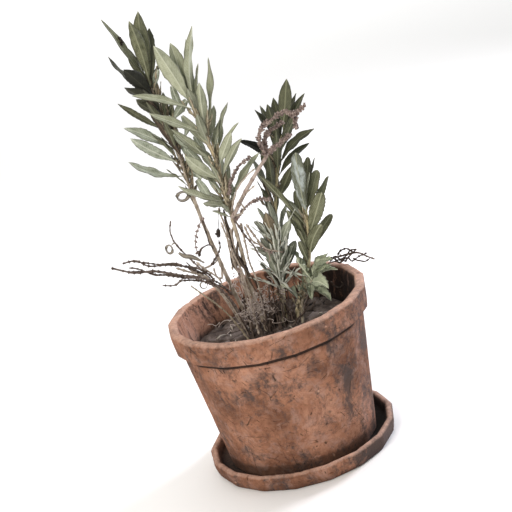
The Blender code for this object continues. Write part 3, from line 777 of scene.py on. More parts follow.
bark_tan = dead_bark("dead_bark_tan", "#cabfae", "#8f816d", "#3f342b", tip="#c0ad86")
shred_tan = dry_leaf("dry_shreds_tan", "#b5a98c", "#7b6f58", "#c6ba9e", "#463c2c")
leaf_sage = dry_leaf("dry_leaf_sage", "#b2b59b", "#868a71", "#c6c9b2", "#474331")
pale_spec = (2.0, 1.3, [(-5.6, -4.3), (-9, -6, 159), (-8, -10, 200), (-8, -14, 250), (-8, -15, 280),
                        (-11, -15, 308), (-13, -16, 328)])
pale_leaves = [
    (1.00, 215, 20, 63, 14.5, 55, 0.03, 1.0), (1.00, 130, 8, 56, 15.0, -18, 0.02, 0.97),
    (1.00, 340, 14, 68, 9.5, -35, 0.03, 1.0), (0.990, 190, 60, 54, 8.5, -40, 0.02, 0.95),
    (0.886, 190, 52, 50, 9.0, -45, 0.0, 1.0), (0.855, 305, 12, 52, 11.0, -30, 0.02, 0.95),
    (0.886, 5, 18, 63, 9.0, 20, -0.06, 0.75), (0.803, 30, 38, 44, 8.0, -5, 0.03, 0.7),
    (0.751, 0, 42, 40, 8.0, 20, 0.04, 1.0), (0.689, 335, 42, 42, 8.5, -50, 0.05, 0.95),
    (0.689, 215, 42, 43, 11.0, 60, -0.04, 1.0), (0.596, 205, 54, 48, 9.0, 40, -0.06, 0.95),
    (0.586, 350, 46, 52, 7.5, 40, 0.02, 0.85),
]
pale_small = [
    (1.00, 75, 30, 60, 9.0, -25, 0.0, 0.75), (0.824, 135, 36, 37, 7.5, -40, 0.0, 0.8),
    (0.741, 320, 40, 37, 9.0, -50, 0.0, 1.0), (0.762, 165, 40, 46, 9.0, -40, 0.0, 0.85),
    (0.668, 135, 58, 31, 9.5, -45, 0.0, 0.8), (0.565, 215, 60, 28, 8.0, 45, 0.0, 0.75),
    (0.523, 220, 56, 23, 5.0, 20, 0.0, 0.7), (0.979, 20, 18, 40, 7.0, 0, 0.0, 0.8),
    (0.959, 260, 24, 30, 8.0, 10, 0.0, 0.6), (0.834, 250, 16, 32, 8.0, 20, 0.0, 0.6),
    (0.772, 30, 24, 34, 8.0, -20, 0.0, 0.9), (0.741, 60, 30, 38, 9.0, -10, 0.0, 0.85),
    (0.720, 180, 26, 30, 7.0, 30, 0.0, 0.75), (0.648, 240, 22, 28, 7.0, -20, 0.0, 0.7),
    (0.627, 160, 34, 30, 6.0, 20, 0.0, 0.7), (0.555, 190, 30, 26, 5.0, 30, 0.0, 0.7),
    (0.606, 60, 40, 30, 6.0, 0, 0.0, 0.8), (0.534, 250, 44, 20, 5.0, 0, 0.0, 0.65),
]
shoot("pale", pale_spec, pale_leaves, pale_small, (0.6, 0.68, 0.76, 0.85, 0.92), bark_tan, leaf_sage,
      (shred_tan, 500, 60, 0.50, 0.98, 28.0))

# ---- Back shoot ------------------------------------------------------------------------------------------
# A stiff shoot behind the others, of yellow wood that has lost its outer bark towards the top. Its narrow
# leaves have dried dark olive with a thin pale rib, and shreds of older ones still clasp the stem.

bark_straw = dead_bark("dead_bark_straw", "#d0c5a4", "#978b6c", "#3a3222", tip="#bdb188")
leaf_dark = dry_leaf("dry_leaf_dark_olive", "#66684f", "#3e4030", "#85876b", "#201e16")
back_spec = (2.0, 1.2, [(13.2, 9), (18, 9, 150), (24, 10, 191), (31, 10, 222), (39, 9, 248), (52, 8, 280)])
back_leaves = [
    (1.00, 332, 20, 50, 12.0, -70, 0.02, 1.0), (0.969, 10, 42, 45, 9.0, 30, 0.03, 0.9),
    (0.895, 345, 38, 44, 10.0, -50, 0.04, 1.0), (0.833, 0, 58, 45, 10.0, 35, 0.08, 0.85),
    (0.770, 20, 62, 43, 9.0, 25, 0.04, 0.9),
]
back_small = [
    (0.979, 75, 14, 36, 9.0, -15, 0.0, 0.6), (1.00, 35, 42, 39, 7.0, 5, 0.0, 0.6),
    (0.927, 120, 20, 41, 7.0, 20, 0.0, 0.7), (0.843, 170, 44, 40, 9.0, -40, 0.1, 0.08),
    (0.634, 285, 18, 49, 9.0, 10, 0.0, 0.95), (0.644, 335, 38, 39, 8.5, -75, 0.0, 0.95),
    (0.937, 260, 14, 42, 10.0, 20, 0.0, 0.7), (0.948, 180, 20, 38, 9.0, -30, 0.0, 0.55),
    (0.791, 300, 22, 42, 9.0, -20, 0.0, 0.9), (0.749, 240, 16, 36, 8.0, 20, 0.0, 0.8),
    (0.686, 60, 22, 40, 7.0, 0, 0.0, 0.75), (0.582, 200, 14, 34, 5.0, 0, 0.0, 0.8),
    (0.561, 20, 20, 34, 5.0, 20, 0.0, 0.85), (0.529, 120, 16, 30, 5.0, 0, 0.0, 0.8),
]
shoot("back", back_spec, back_leaves, back_small, (0.62, 0.7, 0.78, 0.86, 0.94), bark_straw, leaf_dark,
      (shred_brown, 600, 30, 0.45, 0.95, 30.0))

# ---- Right shoot -----------------------------------------------------------------------------------------
# A short shoot that bends over to the right, on the same yellow wood. Its leaves are blunt ovals, dried
# olive, and one of them carries pale grey-blue streaks that are painted sheen.

leaf_oval = dry_leaf("dry_leaf_oval", "#888a6d", "#54563d", "#adaf92", "#2b281a")
leaf_painted_sheen = dry_leaf("dry_leaf_painted_sheen", "#7b8072", "#565a4a", "#989a80", "#2e2b1c", bloom=0.9)
right_spec = (2.1, 1.2, [(22.8, -0.3), (29, -1, 136), (40, -3, 155), (49, -5, 180), (54, -8, 213),
                         (55, -9, 229)])
right_leaves = [
    (0.840, 285, 14, 61, 12.5, -30, 0.0, 1.05), (0.872, 15, 32, 37, 11.0, 40, 0.02, 0.85),
    (0.679, 310, 36, 49, 13.0, -50, 0.02, 1.0), (0.562, 15, 50, 37, 8.5, 60, 0.05, 0.8),
    (0.508, 320, 36, 37, 11.0, -65, 0.05, 0.95), (0.530, 225, 14, 48, 9.0, 10, 0.03, 0.9),
]
right_small = [
    (0.957, 45, 30, 38, 8.0, 10, 0.0, 0.6), (0.914, 40, 36, 43, 6.0, -20, 0.0, 0.6),
    (0.808, 25, 48, 42, 8.0, 15, 0.0, 0.75), (0.754, 195, 28, 66, 8.0, 30, 0.0, 0.85),
    (0.893, 330, 20, 34, 8.0, 20, 0.0, 0.8), (0.615, 200, 20, 34, 7.0, -20, 0.0, 0.75),
    (0.466, 250, 24, 26, 6.0, 10, 0.0, 0.8), (0.444, 60, 26, 26, 6.0, 0, 0.0, 0.7),
    (0.637, 340, 18, 26, 6.0, 0, 0.0, 0.6),
]
shoot("right", right_spec, right_leaves, right_small, (0.5, 0.62, 0.75, 0.86, 0.96), bark_straw, leaf_oval,
      (shred_tan, 700, 22, 0.3, 0.95, 20.0), form=(0.72, 0.5), cup=10.0)
bpy.data.objects["right_leaf_01"].material_slots[0].material = leaf_painted_sheen

# ---- Short shoot -----------------------------------------------------------------------------------------
# A half-grown shoot in the middle, on thin dusty wood. Its blue-grey leaves have cupped like spoons among a
# spray of pale, narrow, needle-like ones, and a single one has dried brown.

leaf_needle = dry_leaf("dry_leaf_needle", "#d0d3c6", "#a2a698", "#dadcd0", "#77766a")
bark_dust = dead_bark("dead_bark_dusty", "#b3aa98", "#6f6556", "#2e2720")
leaf_blue = dry_leaf("dry_leaf_blue_grey", "#a7ab98", "#626857", "#c0c3b0", "#302e26")
short_spec = (1.6, 1.0, [(9.6, -7.2), (16, -8, 149), (20, -10, 174), (23, -11, 194)])
short_leaves = [(0.912, 205, 24, 36, 8.0, 40, 0.08, 0.7), (0.890, 335, 34, 33, 9.0, -80, 0.04, 1.05)]
short_small = [
    (0.956, 180, 10, 40, 6.0, 35, 0.0, 0.75), (0.978, 25, 32, 38, 7.0, 10, 0.0, 0.8),
    (0.791, 220, 26, 30, 9.0, 25, 0.0, 0.6), (0.582, 20, 40, 35, 10.5, 55, 0.0, 0.85),
    (0.978, 300, 8, 42, 9.0, -60, 0.0, 0.6), (0.934, 60, 14, 38, 8.0, 0, 0.0, 0.6),
    (0.516, 300, 122, 22, 6.0, -20, 0.0, 0.7), (0.670, 330, 16, 32, 9.0, -20, 0.0, 0.75),
    (0.560, 215, 14, 30, 7.0, 0, 0.0, 0.6), (0.394, 20, 24, 28, 7.0, 20, 0.0, 0.7),
    (0.626, 285, 16, 38, 11.0, -35, 0.0, 0.95), (0.472, 325, 24, 40, 12.0, 30, 0.0, 1.0),
    (0.449, 215, 26, 34, 9.0, -30, 0.0, 0.7), (0.538, 240, 16, 34, 9.0, 20, 0.0, 0.9),
    (0.582, 345, 34, 32, 10.0, 20, 0.0, 1.05), (0.714, 200, 30, 30, 9.0, 40, 0.0, 0.6),
    (0.780, 10, 30, 34, 9.0, -40, 0.0, 0.8), (0.670, 300, 10, 40, 9.0, 20, 0.0, 1.0),
]
short_path = shoot("short", short_spec, short_leaves, short_small, (0.45, 0.6, 0.75, 0.9), bark_dust,
                   leaf_blue, (shred_brown, 800, 34, 0.25, 0.95, 26.0), form=(0.8, 0.6), cup=22.0)

oval = blade(point_up(short_path, 0.86), 1.0, (262, 8, 42, 13.0, 4, 0.0, 0.95), 3, form=(0.8, 0.8), cup=14.0)
brown = foliage("short_brown_leaf", [oval], shred_brown)
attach(brown, "root")
chance = random.Random(17)
parts = []
for number in range(50):
    row = (chance.gauss(270, 66), chance.uniform(12, 58), chance.uniform(20, 40), chance.uniform(1.1, 2.0),
           chance.uniform(-60, 60), chance.uniform(-0.03, 0.06), chance.uniform(0.85, 1.2))
    foot = point_up(short_path, chance.uniform(0.42, 0.98))
    parts.append(blade(foot, 1.4, row, number, form=(0.6, 0.7), cup=25.0))
for foot, row in (((22, -14, 178), (0, 149, 24, 2.4, 20, 0.0, 0.9)),
                  ((12, -18, 173), (0, 152, 33, 2.4, -20, 0.02, 1.0)),
                  ((18, -16, 172), (0, 118, 26, 2.2, 30, 0.0, 1.0))):
    parts.append(blade(foot, 0.3, row, 61, form=(0.5, 0.7), cup=20.0))
needles = foliage("short_needle_leaves", parts, leaf_needle, THIN_LEAF)
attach(needles, "root")

# ---- Low shoot -------------------------------------------------------------------------------------------
# A low clump at the foot of the right shoot: thin wood, almost lying down, under pale felted leaves which
# crumpled as they dried and are folded over one another.

leaf_pallid = dry_leaf("dry_leaf_pallid", "#bfc5a9", "#7e8870", "#d6d9c0", "#4a4a3a")
low_spec = (1.5, 1.0, [(26.8, -9.3), (31, -10, 137), (39, -13, 149), (45, -15, 156)])
low_leaves = [(1.00, 345, 62, 21, 9.0, 60, 0.10, 1.05)]
low_small = [
    (0.93, 255, 122, 19, 12.0, -10, 0.0, 0.8), (0.79, 20, 50, 34, 12.0, 30, 0.05, 1.0),
    (0.88, 300, 92, 26, 15.0, 30, 0.16, 0.9), (0.82, 350, 72, 29, 13.0, -20, 0.18, 1.05),
    (0.70, 318, 110, 25, 14.0, 10, 0.12, 0.8), (0.94, 8, 52, 27, 10.0, -50, 0.10, 1.15),
    (0.98, 342, 56, 27, 11.0, 20, 0.15, 1.1), (0.65, 250, 60, 20, 7.0, 20, 0.1, 0.9),
    (0.53, 200, 42, 26, 5.0, 30, 0.0, 0.9), (0.97, 200, 22, 24, 5.0, 40, 0.0, 1.1),
    (0.60, 340, 40, 26, 8.0, 30, 0.0, 0.85), (0.90, 150, 16, 26, 4.0, 0, 0.0, 1.05),
]
shoot("low", low_spec, low_leaves, low_small, (0.6, 0.9), bark_dust, leaf_pallid,
      (shred_tan, 900, 20, 0.1, 0.95, 20.0), form=(0.8, 0.7), cup=24.0, ripple=1.9, curl=0.35, ragged=3.0)

# ---- Flower stalk and flower heads -----------------------------------------------------------------------
# A ribbed stalk springs from the pale stem and carries spent flower spikes: on each thin axis sit whorls of
# small papery cups, dusty purple-brown, which once held the flowers.


def cup(foot, heading, length, radius, seed):
    """One empty calyx: a narrow-necked cup with a toothed mouth, as (points, faces, lie)."""
    heading = heading.normalized()
    side = heading.orthogonal().normalized()
    over = heading.cross(side)
    points, tris, sides = [], [], 7
    for share, wide in ((0, 0.35), (0.25, 0.95), (0.55, 1.0), (0.85, 0.8), (1.0, 1.05), (0.8, 0.5)):
        for j in range(sides):
            turn = math.tau * j / sides
            tooth = 0.16 * (j % 2) if share == 1.0 else 0
            bulge = radius * wide * (1 + 0.22 * noise.noise(Vector((turn, share * 3, seed))))
            points.append(foot + heading * length * (share - tooth)
                          + (side * math.cos(turn) + over * math.sin(turn)) * bulge)
    for i in range(5):
        for j in range(sides):
            k = (j + 1) % sides
            tris.append((i * sides + j, i * sides + k, (i + 1) * sides + k, (i + 1) * sides + j))
    tris.append(tuple(range(sides))[::-1])
    tris.append(tuple(5 * sides + j for j in range(sides)))
    return points, tris, [(0.5, 0, 0)] * len(points)


def spike(route, thin, wide, seed, gap=2.3, spread=0.85):
    """A spent flower spike: its axis, and a whorl of cups every so many millimetres."""
    chance = random.Random(seed)
    parts = [rod(route, thin, thin * 0.6, sides=7, step=1.1, knots=gap, swell=0.5, rough=0.25, seed=seed)]
    path = smooth_route(route, gap)
    for i in range(len(path) - 1):
        ahead = (path[i + 1] - path[i]).normalized()
        side = ahead.orthogonal().normalized()
        over = ahead.cross(side)
        number = chance.choice((4, 5, 5))
        start = chance.uniform(0, math.tau)
        for j in range(number):
            if chance.random() < 0.12:
                continue
            turn = start + math.tau * j / number
            out = side * math.cos(turn) + over * math.sin(turn)
            heading = out * chance.uniform(0.45, spread) + ahead * chance.uniform(0.5, 1.1)
            foot = path[i] + ahead * chance.uniform(-0.7, 0.7) + out * thin * 0.5
            size = wide * chance.uniform(0.7, 1.1) * (0.85 + 0.5 * noise.noise(path[i] / 5))
            parts.append(cup(foot, heading, size * 1.7, size * 0.62, chance.uniform(0, 50)))
    return parts


def papery_husk(name, pale, dark, hollow):
    """Dry calyx tissue: thin, matt and dusty, purple-brown in 3 mm patches, ribbed every 0.7 mm."""
    made, tree, shader = finish(name, 0.9)
    place = add(tree, "TexCoord").outputs["Object"]
    patch = add(tree, "TexNoise", {"Vector": place, "Scale": 1000 / 3.2, "Detail": 5.0, "Roughness": 0.7})
    colour = add(tree, "ValToRGB", {0: patch.outputs["Fac"]},
                 ramp=[(0.36, hollow), (0.47, dark), (0.62, pale)]).outputs[0]
    tree.links.new(colour, shader.inputs["Base Color"])
    ribs = add(tree, "TexNoise", {"Vector": place, "Scale": 1000 / 0.7, "Detail": 3.0})
    bump = add(tree, "Bump", {"Height": ribs.outputs["Fac"], "Strength": 0.7, "Distance": 0.0003})
    tree.links.new(bump.outputs[0], shader.inputs["Normal"])
    shader.inputs["Sheen Weight"].default_value = 0.15
    return made


bark_pink = dead_bark("dead_bark_pinkish", "#c2b2a8", "#8d7b71", "#3f322d")
husk = papery_husk("papery_husk", "#ab9990", "#837169", "#4a3c38")
stalk_route = [(-8, -14, 228), (-4, -17, 233), (7, -18, 246), (20, -20, 260), (30, -22, 270), (35, -23, 275)]
stalk = woody("flower_stalk_rod", [rod(stalk_route, 1.8, 1.3, knots=11, seed=5.0)], bark_pink)
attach(stalk, "root")
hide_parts("flower_stalk")
heads = {
    "flower_head_low": (0.8, 1.9, [(36, -24, 276), (39, -26, 279), (44, -27, 281), (50, -28, 284),
                                   (57, -30, 288)]),
    "flower_head_mid": (0.8, 1.8, [(34, -22, 275), (35, -21, 280), (35, -20, 286), (39, -21, 292),
                                   (47, -21, 295), (55, -21, 298)]),
    "flower_head_top": (0.8, 1.9, [(33, -24, 275), (32, -25, 280), (31, -28, 291), (36, -30, 300),
                                   (45, -31, 304), (53, -30, 307), (60, -29, 306), (64, -29, 298),
                                   (62, -29, 291)]),
    "flower_side_upper": (0.6, 1.5, [(-7, -15, 250), (-4, -19, 252), (-2, -20, 259), (3, -22, 265),
                                     (9, -23, 272), (21, -26, 278)]),
    "flower_side_lower": (0.6, 1.5, [(-6, -14, 226), (-3, -17, 228), (4, -18, 234), (10, -21, 238),
                                     (18, -22, 240), (27, -22, 237)]),
}
for number, (name, (thin, wide, route)) in enumerate(heads.items()):
    made = woody(name + "_spike", spike(route, thin * 1.6, wide * 0.95, number * 11 + 3), husk)
    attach(made, "root")
    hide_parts(name)
tip_parts = spike([(60, -29, 303), (66, -31, 304), (70, -31, 306), (75, -31, 309)], 1.4, 1.9, 77)
head_tips = woody("flower_head_tips", tip_parts, husk)
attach(head_tips, "root")

# ---- Left sprays -----------------------------------------------------------------------------------------
# Dead growth with no leaves left: thin dark twigs, knotted with shrunken buds, that lie out over the rim to
# the left and the right, two bare stems in the middle, a twisted end and a straw. Those that start at the
# soil are rooted in it.

bark_dark = dead_bark("dead_bark_dark", "#887a70", "#43362f", "#191311")
bark_pale = dead_bark("dead_bark_pale", "#c3b7a8", "#8b7d6f", "#3b312a")
sprays = {
    "spray_left_long": (1.2, 0.7, [(-22, -6.8), (-26, -10, 148), (-36, -14, 172), (-46, -16, 184),
                                   (-64, -18, 193), (-84, -20, 203), (-100, -22, 207),
                                   (-117.5, -23, 216.8)]),
    "curled_twig": (1.1, 0.5, [(-26, 1.3), (-26, 2, 139), (-35, 3, 161), (-45, 4, 183), (-54, 6, 199),
                               (-61, 8, 212), (-63, 8, 224), (-60, 9, 234)]),
    "dead_stem_front": (1.0, 0.6, [(-12.9, -9.4), (-12, -12, 173), (-16, -15, 205), (-18, -17, 228)]),
    "dead_stem_rear": (1.1, 0.6, [(-19.1, -0.2), (-15, -1, 155), (-16, -2, 185), (-13, -4, 214)]),
    "straw": (0.7, 0.5, [(-23, -16.1), (-36, -21, 152), (-57, -30, 185)]),
    "twig_over_rim": (1.0, 0.6, [(31.7, 20.4), (36, 26, 124), (48, 38, 138), (62, 47, 147), (76, 45, 149),
                                 (90, 34, 152), (97, 28, 149), (103.8, 20, 146)]),
}
straw_bark = dead_bark("dead_straw", "#b9ad98", "#7f735f", "#463c30")
for number, (name, (start, end, route)) in enumerate(sprays.items()):
    root, above = planted(route)
    twig = rod([root, *above], start, end * 1.1, sides=8, step=1.0, knots=5, swell=0.7, rough=0.7,
               seed=number * 2.3)
    bark = straw_bark if name == "straw" else bark_pale if "stem" in name else bark_dark
    made = woody(name + "_twig", [twig], bark)
    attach(made, "root")
    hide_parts(name)
knotted = {
    "spray_left_knotted": (0.75, [(-37, -12, 177), (-40, -9, 183), (-48, -11, 192), (-61, -10, 198),
                                  (-74, -8, 202), (-88, -8, 205), (-97, -6, 212), (-109, -6, 213)]),
    "spray_left_hook": (0.6, [(-38, -16, 174), (-43, -20, 180), (-51, -22, 187), (-61, -24, 191),
                              (-70, -26, 188), (-80, -27, 191)]),
}
for number, (name, (thin, route)) in enumerate(knotted.items()):
    made = woody(name + "_twig", [rod(route, thin * 1.2, thin * 0.9, sides=8, step=0.8, knots=4.6, swell=1.3,
                                      rough=0.5, seed=number + 31.0)], bark_dark)
    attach(made, "root")
    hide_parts(name)
twist_route = [(-7, -13, 226), (-5, -16, 222), (-2, -19, 213), (3, -22, 202), (5, -24, 194), (8, -25, 187)]
twist_parts = [rod(twist_route, 0.9, 0.6, sides=8, knots=5, swell=0.6, rough=0.5, seed=9.0)]
twist = woody("twisted_twig_rod", twist_parts, bark_dark)
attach(twist, "root")
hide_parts("twisted_twig")

# ---- Fine dead twigs -------------------------------------------------------------------------------------
# Wood too fine or too rotten to be solids of its own: withered side twigs and tendrils caught in the rest,
# dark dead wood up to 4 mm thick that stands in the soil at the foot of the plant, and pale root fibres.


def wandering(start, end, bend, seed, steps=9):
    """A route that wanders from one point to another."""
    a, b = Vector(start), Vector(end)
    return [a.lerp(b, i / steps) + bend * math.sin(math.pi * i / steps)
            * Vector(noise.noise_vector(Vector((i * 0.55, seed, seed * 0.7)))) * 2.2
            for i in range(steps + 1)]


PALE_ONES = 15
fine = [
    [(-7, -16, 234), (-2, -18, 245), (4, -20, 254), (14, -21, 262), (22, -22, 266)],
    [(-6, -17, 229), (0, -19, 240), (9, -20, 247), (18, -22, 252)],
    [(-5, -17, 230), (1, -19, 231), (4, -20, 236), (1, -20, 240), (-3, -19, 237)],
    [(-13, -8, 235), (-14, -8, 224), (-17, -8, 208), (-18, -8, 192), (-20, -8, 181)],
    [(-12, -12, 219), (-13, -12, 205), (-13, -12, 188), (-14, -12, 170), (-10, -9, 140)],
    [(-4, -10, 228), (-11, -10, 215), (-16, -10, 200), (-17, -10, 187), (-15, -10, 175)],
    [(-17, -4, 237), (-16, -4, 222), (-15, -4, 209), (-15, -4, 195), (-15, -4, 182)],
    [(-2, -14, 222), (-3, -14, 203), (-4, -14, 186), (-2, -14, 165), (-4, -10, 130)],
    [(0, -20, 220), (3, -20, 206), (10, -20, 199), (14, -20, 192), (13, -20, 183)],
    [(2, -22, 222), (7, -22, 208), (10, -22, 201), (14, -22, 195), (26, -22, 189)],
    [(-46, -4, 188), (-39, -4, 189), (-32, -4, 191), (-27, -4, 197)],
    [(-48, -8, 197), (-42, -8, 188), (-36, -8, 181), (-32, -8, 173), (-37, -8, 167)],
    [(-35, -2, 186), (-35, -2, 178), (-31, -2, 175), (-29, -2, 182), (-29, -2, 190)],
    [(-56, -8, 194), (-48, -8, 184), (-40, -8, 174), (-33, -8, 157), (-24, -6, 125)],
    [(-66, -12, 198), (-55, -12, 191), (-44, -12, 184), (-35, -12, 168), (-29, -12, 152), (-22, -9, 120)],
    [(-64, -20, 192), (-75, -18, 196), (-86, -16, 200), (-98, -15, 208), (-104, -14, 210)],
    [(-52, -17, 187), (-62, -15, 189), (-72, -15, 195), (-84, -13, 197), (-92, -14, 203), (-106, -14, 207)],
    [(-44, -12, 186), (-56, -13, 196), (-66, -14, 203), (-78, -12, 205), (-90, -12, 210), (-102, -12, 215)],
    [(-30, -10, 168), (-42, -14, 178), (-54, -15, 184), (-66, -18, 188)],
    [(-26, -4, 158), (-34, 0, 170), (-44, 2, 178), (-52, 2, 188), (-57, 3, 196)],
    [(-37, -6, 190), (-30, -5, 196), (-25, -5, 203), (-24, -5, 210)],
    [(66, 44, 147), (72, 42, 151), (76, 40, 147), (82, 38, 148), (85, 36, 144.5), (92, 33, 148),
     (99, 28, 151)],
    [(74, 43, 151), (78, 42, 155), (84, 39, 156), (88, 37, 152), (94, 32, 151)],
    [(78, 34, 146), (83, 34, 150), (88, 34, 153), (92, 34, 155)],
    [(86, 30, 149), (89, 30, 146), (91, 30, 145), (96, 30, 143), (101, 29, 145)],
    [(59, 42, 149), (67, 42, 151), (73, 42, 147), (80, 42, 148), (86, 38, 154), (91, 33, 155)],
    [(79, 38, 147), (74, 38, 145.5), (71, 38, 148), (64, 42, 146.5)],
    [(61, 20, 137), (63, 20, 132), (67, 20, 129), (71, 20, 131), (70, 20, 134)],
    [(-33, 4, 228), (-33, 4, 217), (-33, 4, 207), (-31, 4, 200)],
    [(-45, 2, 198), (-41, 2, 204), (-35, 2, 206), (-31, 2, 204)],
]
parts = [rod(route, 0.9, 0.55, sides=6, step=1.2, knots=5, swell=0.6, rough=0.6, seed=i * 1.9)
         for i, route in enumerate(fine[:PALE_ONES])]
pale_twigs = woody("fine_pale_twigs", parts, bark_pale)
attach(pale_twigs, "root")
parts = [rod(route, 0.85, 0.5, sides=6, step=1.0, knots=4, swell=0.9, rough=0.7, seed=i * 1.9)
         for i, route in enumerate(fine[PALE_ONES:], PALE_ONES)]
chance = random.Random(8)
for number in range(9):
    foot = Vector((chance.uniform(-4, 22), chance.uniform(-12, 2), 0))
    foot.z = soil_top(foot.x, foot.y) - 2
    top = foot + Vector(((13 - foot.x) * 0.6, (-6 - foot.y) * 0.5, chance.uniform(18, 42)))
    route = wandering(foot, top, 1.2, number * 4.1 + 3)
    parts.append(rod(route, chance.uniform(1.2, 1.8), 0.7, sides=8, step=1.3, knots=9, swell=0.4, rough=0.5,
                     seed=number * 1.31))
for number in range(34):
    foot = Vector((chance.gauss(-1, 13), chance.gauss(-4, 6), 0))
    foot.z = soil_top(foot.x, foot.y) - 2
    top = foot + Vector((chance.gauss(foot.x * 0.25, 6), chance.gauss(-1, 4), chance.uniform(12, 42)))
    route = wandering(foot, top, 1.6, number * 3.1)
    parts.append(rod(route, chance.choice((0.6, 0.8, 1.0, 1.5)), 0.4, sides=6, step=1.5, knots=6, swell=0.5,
                     rough=0.5, seed=number * 0.77))
twigs = woody("fine_twigs", parts, dead_bark("dead_bark_rotted", "#6f6259", "#32271f", "#0f0b09"))
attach(twigs, "root")

parts = []
for number in range(46):
    foot = Vector((chance.gauss(-8, 8), chance.gauss(-8, 6), chance.gauss(141, 8)))
    top = foot + Vector((chance.gauss(4, 10), chance.gauss(-2, 6), chance.gauss(6, 9)))
    parts.append(rod(wandering(foot, top, 4.0, number * 1.37, 12), 0.32, 0.2, sides=5, step=1.0, knots=4,
                     swell=0.3, rough=0.3, seed=number * 0.31))
fibres = woody("fibre_tangle", parts, dead_bark("root_fibre", "#cfc3bb", "#95877e", "#43382f"))
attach(fibres, "root")

# ---- Curled strips and hanging bits ----------------------------------------------------------------------
# Withered leaves rolled up into rings, blackened ones that hang down the stems, pale ones bent in among the
# tall shoot's leaves, spent spikes, a black bud on a thread and a small dark one near the top.


def strip(route, width, face, seed):
    """A narrow ribbon of dead leaf along a route, its flat side towards face."""
    path = smooth_route(route, 0.9)
    points, marks, depth, tris = [], [], [], []
    for i, here in enumerate(path):
        ahead = (path[min(i + 1, len(path) - 1)] - path[max(i - 1, 0)]).normalized()
        over = ahead.cross(face).normalized()
        share = i / (len(path) - 1)
        half = width / 2 * (0.35 + 0.65 * math.sin(math.pi * min(1, share * 1.1 + 0.05)))
        for s in (-1, -0.4, 0.4, 1):
            points.append(here + over * s * half + face * 0.25 * half * s * s)
            marks.append((s, i * 0.9, seed))
            depth.append((share, 1.0, half))
    for i in range(len(path) - 1):
        tris += [(i * 4 + k, i * 4 + k + 1, i * 4 + k + 5, i * 4 + k + 4) for k in range(3)]
    return points, tris, marks, depth


def ring_route(centre, wide, high, turns, depth):
    """A loose coil seen face on."""
    steps = int(14 * turns)
    return [Vector(centre) + Vector((wide * math.cos(math.tau * i / 14) * (1 - 0.012 * i), depth * i / steps,
                                     high * math.sin(math.tau * i / 14) * (1 - 0.012 * i)))
            for i in range(steps + 1)]


leaf_withered = dry_leaf("dry_leaf_withered", "#978f82", "#5d564d", "#a9a091", "#332d27")
leaf_black = dry_leaf("dry_leaf_blackened", "#4e4237", "#231c16", "#5d5043", "#120e0c")
parts = [
    strip(ring_route((-44, 9, 251), 5.2, 4.4, 1.35, 3.0), 4.8, Vector((0.5, -0.2, 0.8)).normalized(), 0.2),
    strip([(-39, 10, 249), (-36, 11, 247), (-34, 12, 243)], 1.4, Vector((0, -1, 0)), 0.4),
    strip(ring_route((-68, 8, 209), 3.0, 4.3, 1.5, 3.0), 3.0, Vector((0.5, -0.3, 0.8)).normalized(), 0.7),
    strip([(-65, 8, 213), (-62, 8, 214), (-60, 8, 212)], 1.2, Vector((0, -1, 0)), 0.1),
    strip(ring_route((-47, -15, 177), 3.4, 3.6, 1.2, 2.0), 1.6, Vector((0.3, -0.3, 0.9)).normalized(), 0.9),
    strip([(-61, 6, 205), (-57, 5, 201), (-52, 5, 199), (-47, 6, 195), (-42, 6, 190)], 4.2,
          Vector((0.2, -0.8, 0.55)).normalized(), 0.5),
]
rings = foliage("curled_strips", parts, leaf_withered, THIN_LEAF)
parts = [
    strip([(-13, -9, 236), (-14, -10, 224), (-13, -11, 210), (-15, -10, 196), (-14, -9, 184)], 3.0,
          Vector((0.4, -0.9, 0)).normalized(), 0.2),
    strip([(-9, -12, 206), (-12, -13, 196), (-11, -13, 186), (-7, -12, 176), (-4, -11, 166)], 2.6,
          Vector((-0.3, -0.9, 0.1)).normalized(), 0.6),
    strip([(-15, -8, 200), (-11, -10, 190), (-8, -10, 180), (-8, -9, 168), (-5, -8, 156)], 2.6,
          Vector((0.2, -0.9, 0.1)).normalized(), 0.9),
    strip([(-18, -8, 196), (-18, -9, 186), (-16, -9, 178)], 2.2, Vector((0.1, -1, 0)).normalized(), 0.4),
    strip([(-49, 8, 344), (-46, 8, 332), (-44, 8, 323), (-39, 9, 309)], 6.5,
          Vector((-0.4, -0.9, 0.2)).normalized(), 0.3),
    strip([(-49, 10, 326), (-44, 10, 312), (-39, 10, 298), (-34, 10, 282)], 5.5,
          Vector((-0.3, -0.9, 0.1)).normalized(), 0.8),
]
black_strips = foliage("blackened_strips", parts, leaf_black, THIN_LEAF)
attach(black_strips, "root")
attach(rings, "root")
parts = spike([(-32, 2, 231), (-37, 2, 225), (-42, 2, 217), (-45, 2, 208), (-45, 2, 198)], 0.5, 1.5, 91,
              gap=5.5)
parts += spike([(-13, -12, 186), (-16, -12, 176), (-15, -12, 168)], 0.5, 1.6, 92, gap=4.0)
parts += spike([(9, -21, 200), (14, -21, 193), (18, -21, 190)], 0.5, 1.7, 93, gap=3.0)
hanging = woody("hanging_spikes", parts, husk)
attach(hanging, "root")
thread = [(-13, -6, 244), (-16, -6, 237), (-19, -6, 231), (-21, -6, 222), (-22, -6, 219)]
parts = [rod(thread, 0.3, 0.25, sides=6, step=1.0, seed=2.0)]
parts += [cup(Vector((-22, -6, 220)), Vector((-0.2, 0, -1)), 7.5, 1.9, 4.0),
          cup(Vector((-22, -6, 216)), Vector((-1, 0, -0.1)), 4.2, 1.1, 6.0)]
parts += spike([(-57.5, 15.5, 387), (-56.5, 16, 392), (-58.5, 17, 396)], 0.5, 1.3, 95, gap=1.5)
black_bark = dead_bark("black_bud", "#3c332d", "#191411", "#0b0908")
bud = woody("hanging_bud", parts, black_bark)
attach(bud, "root")

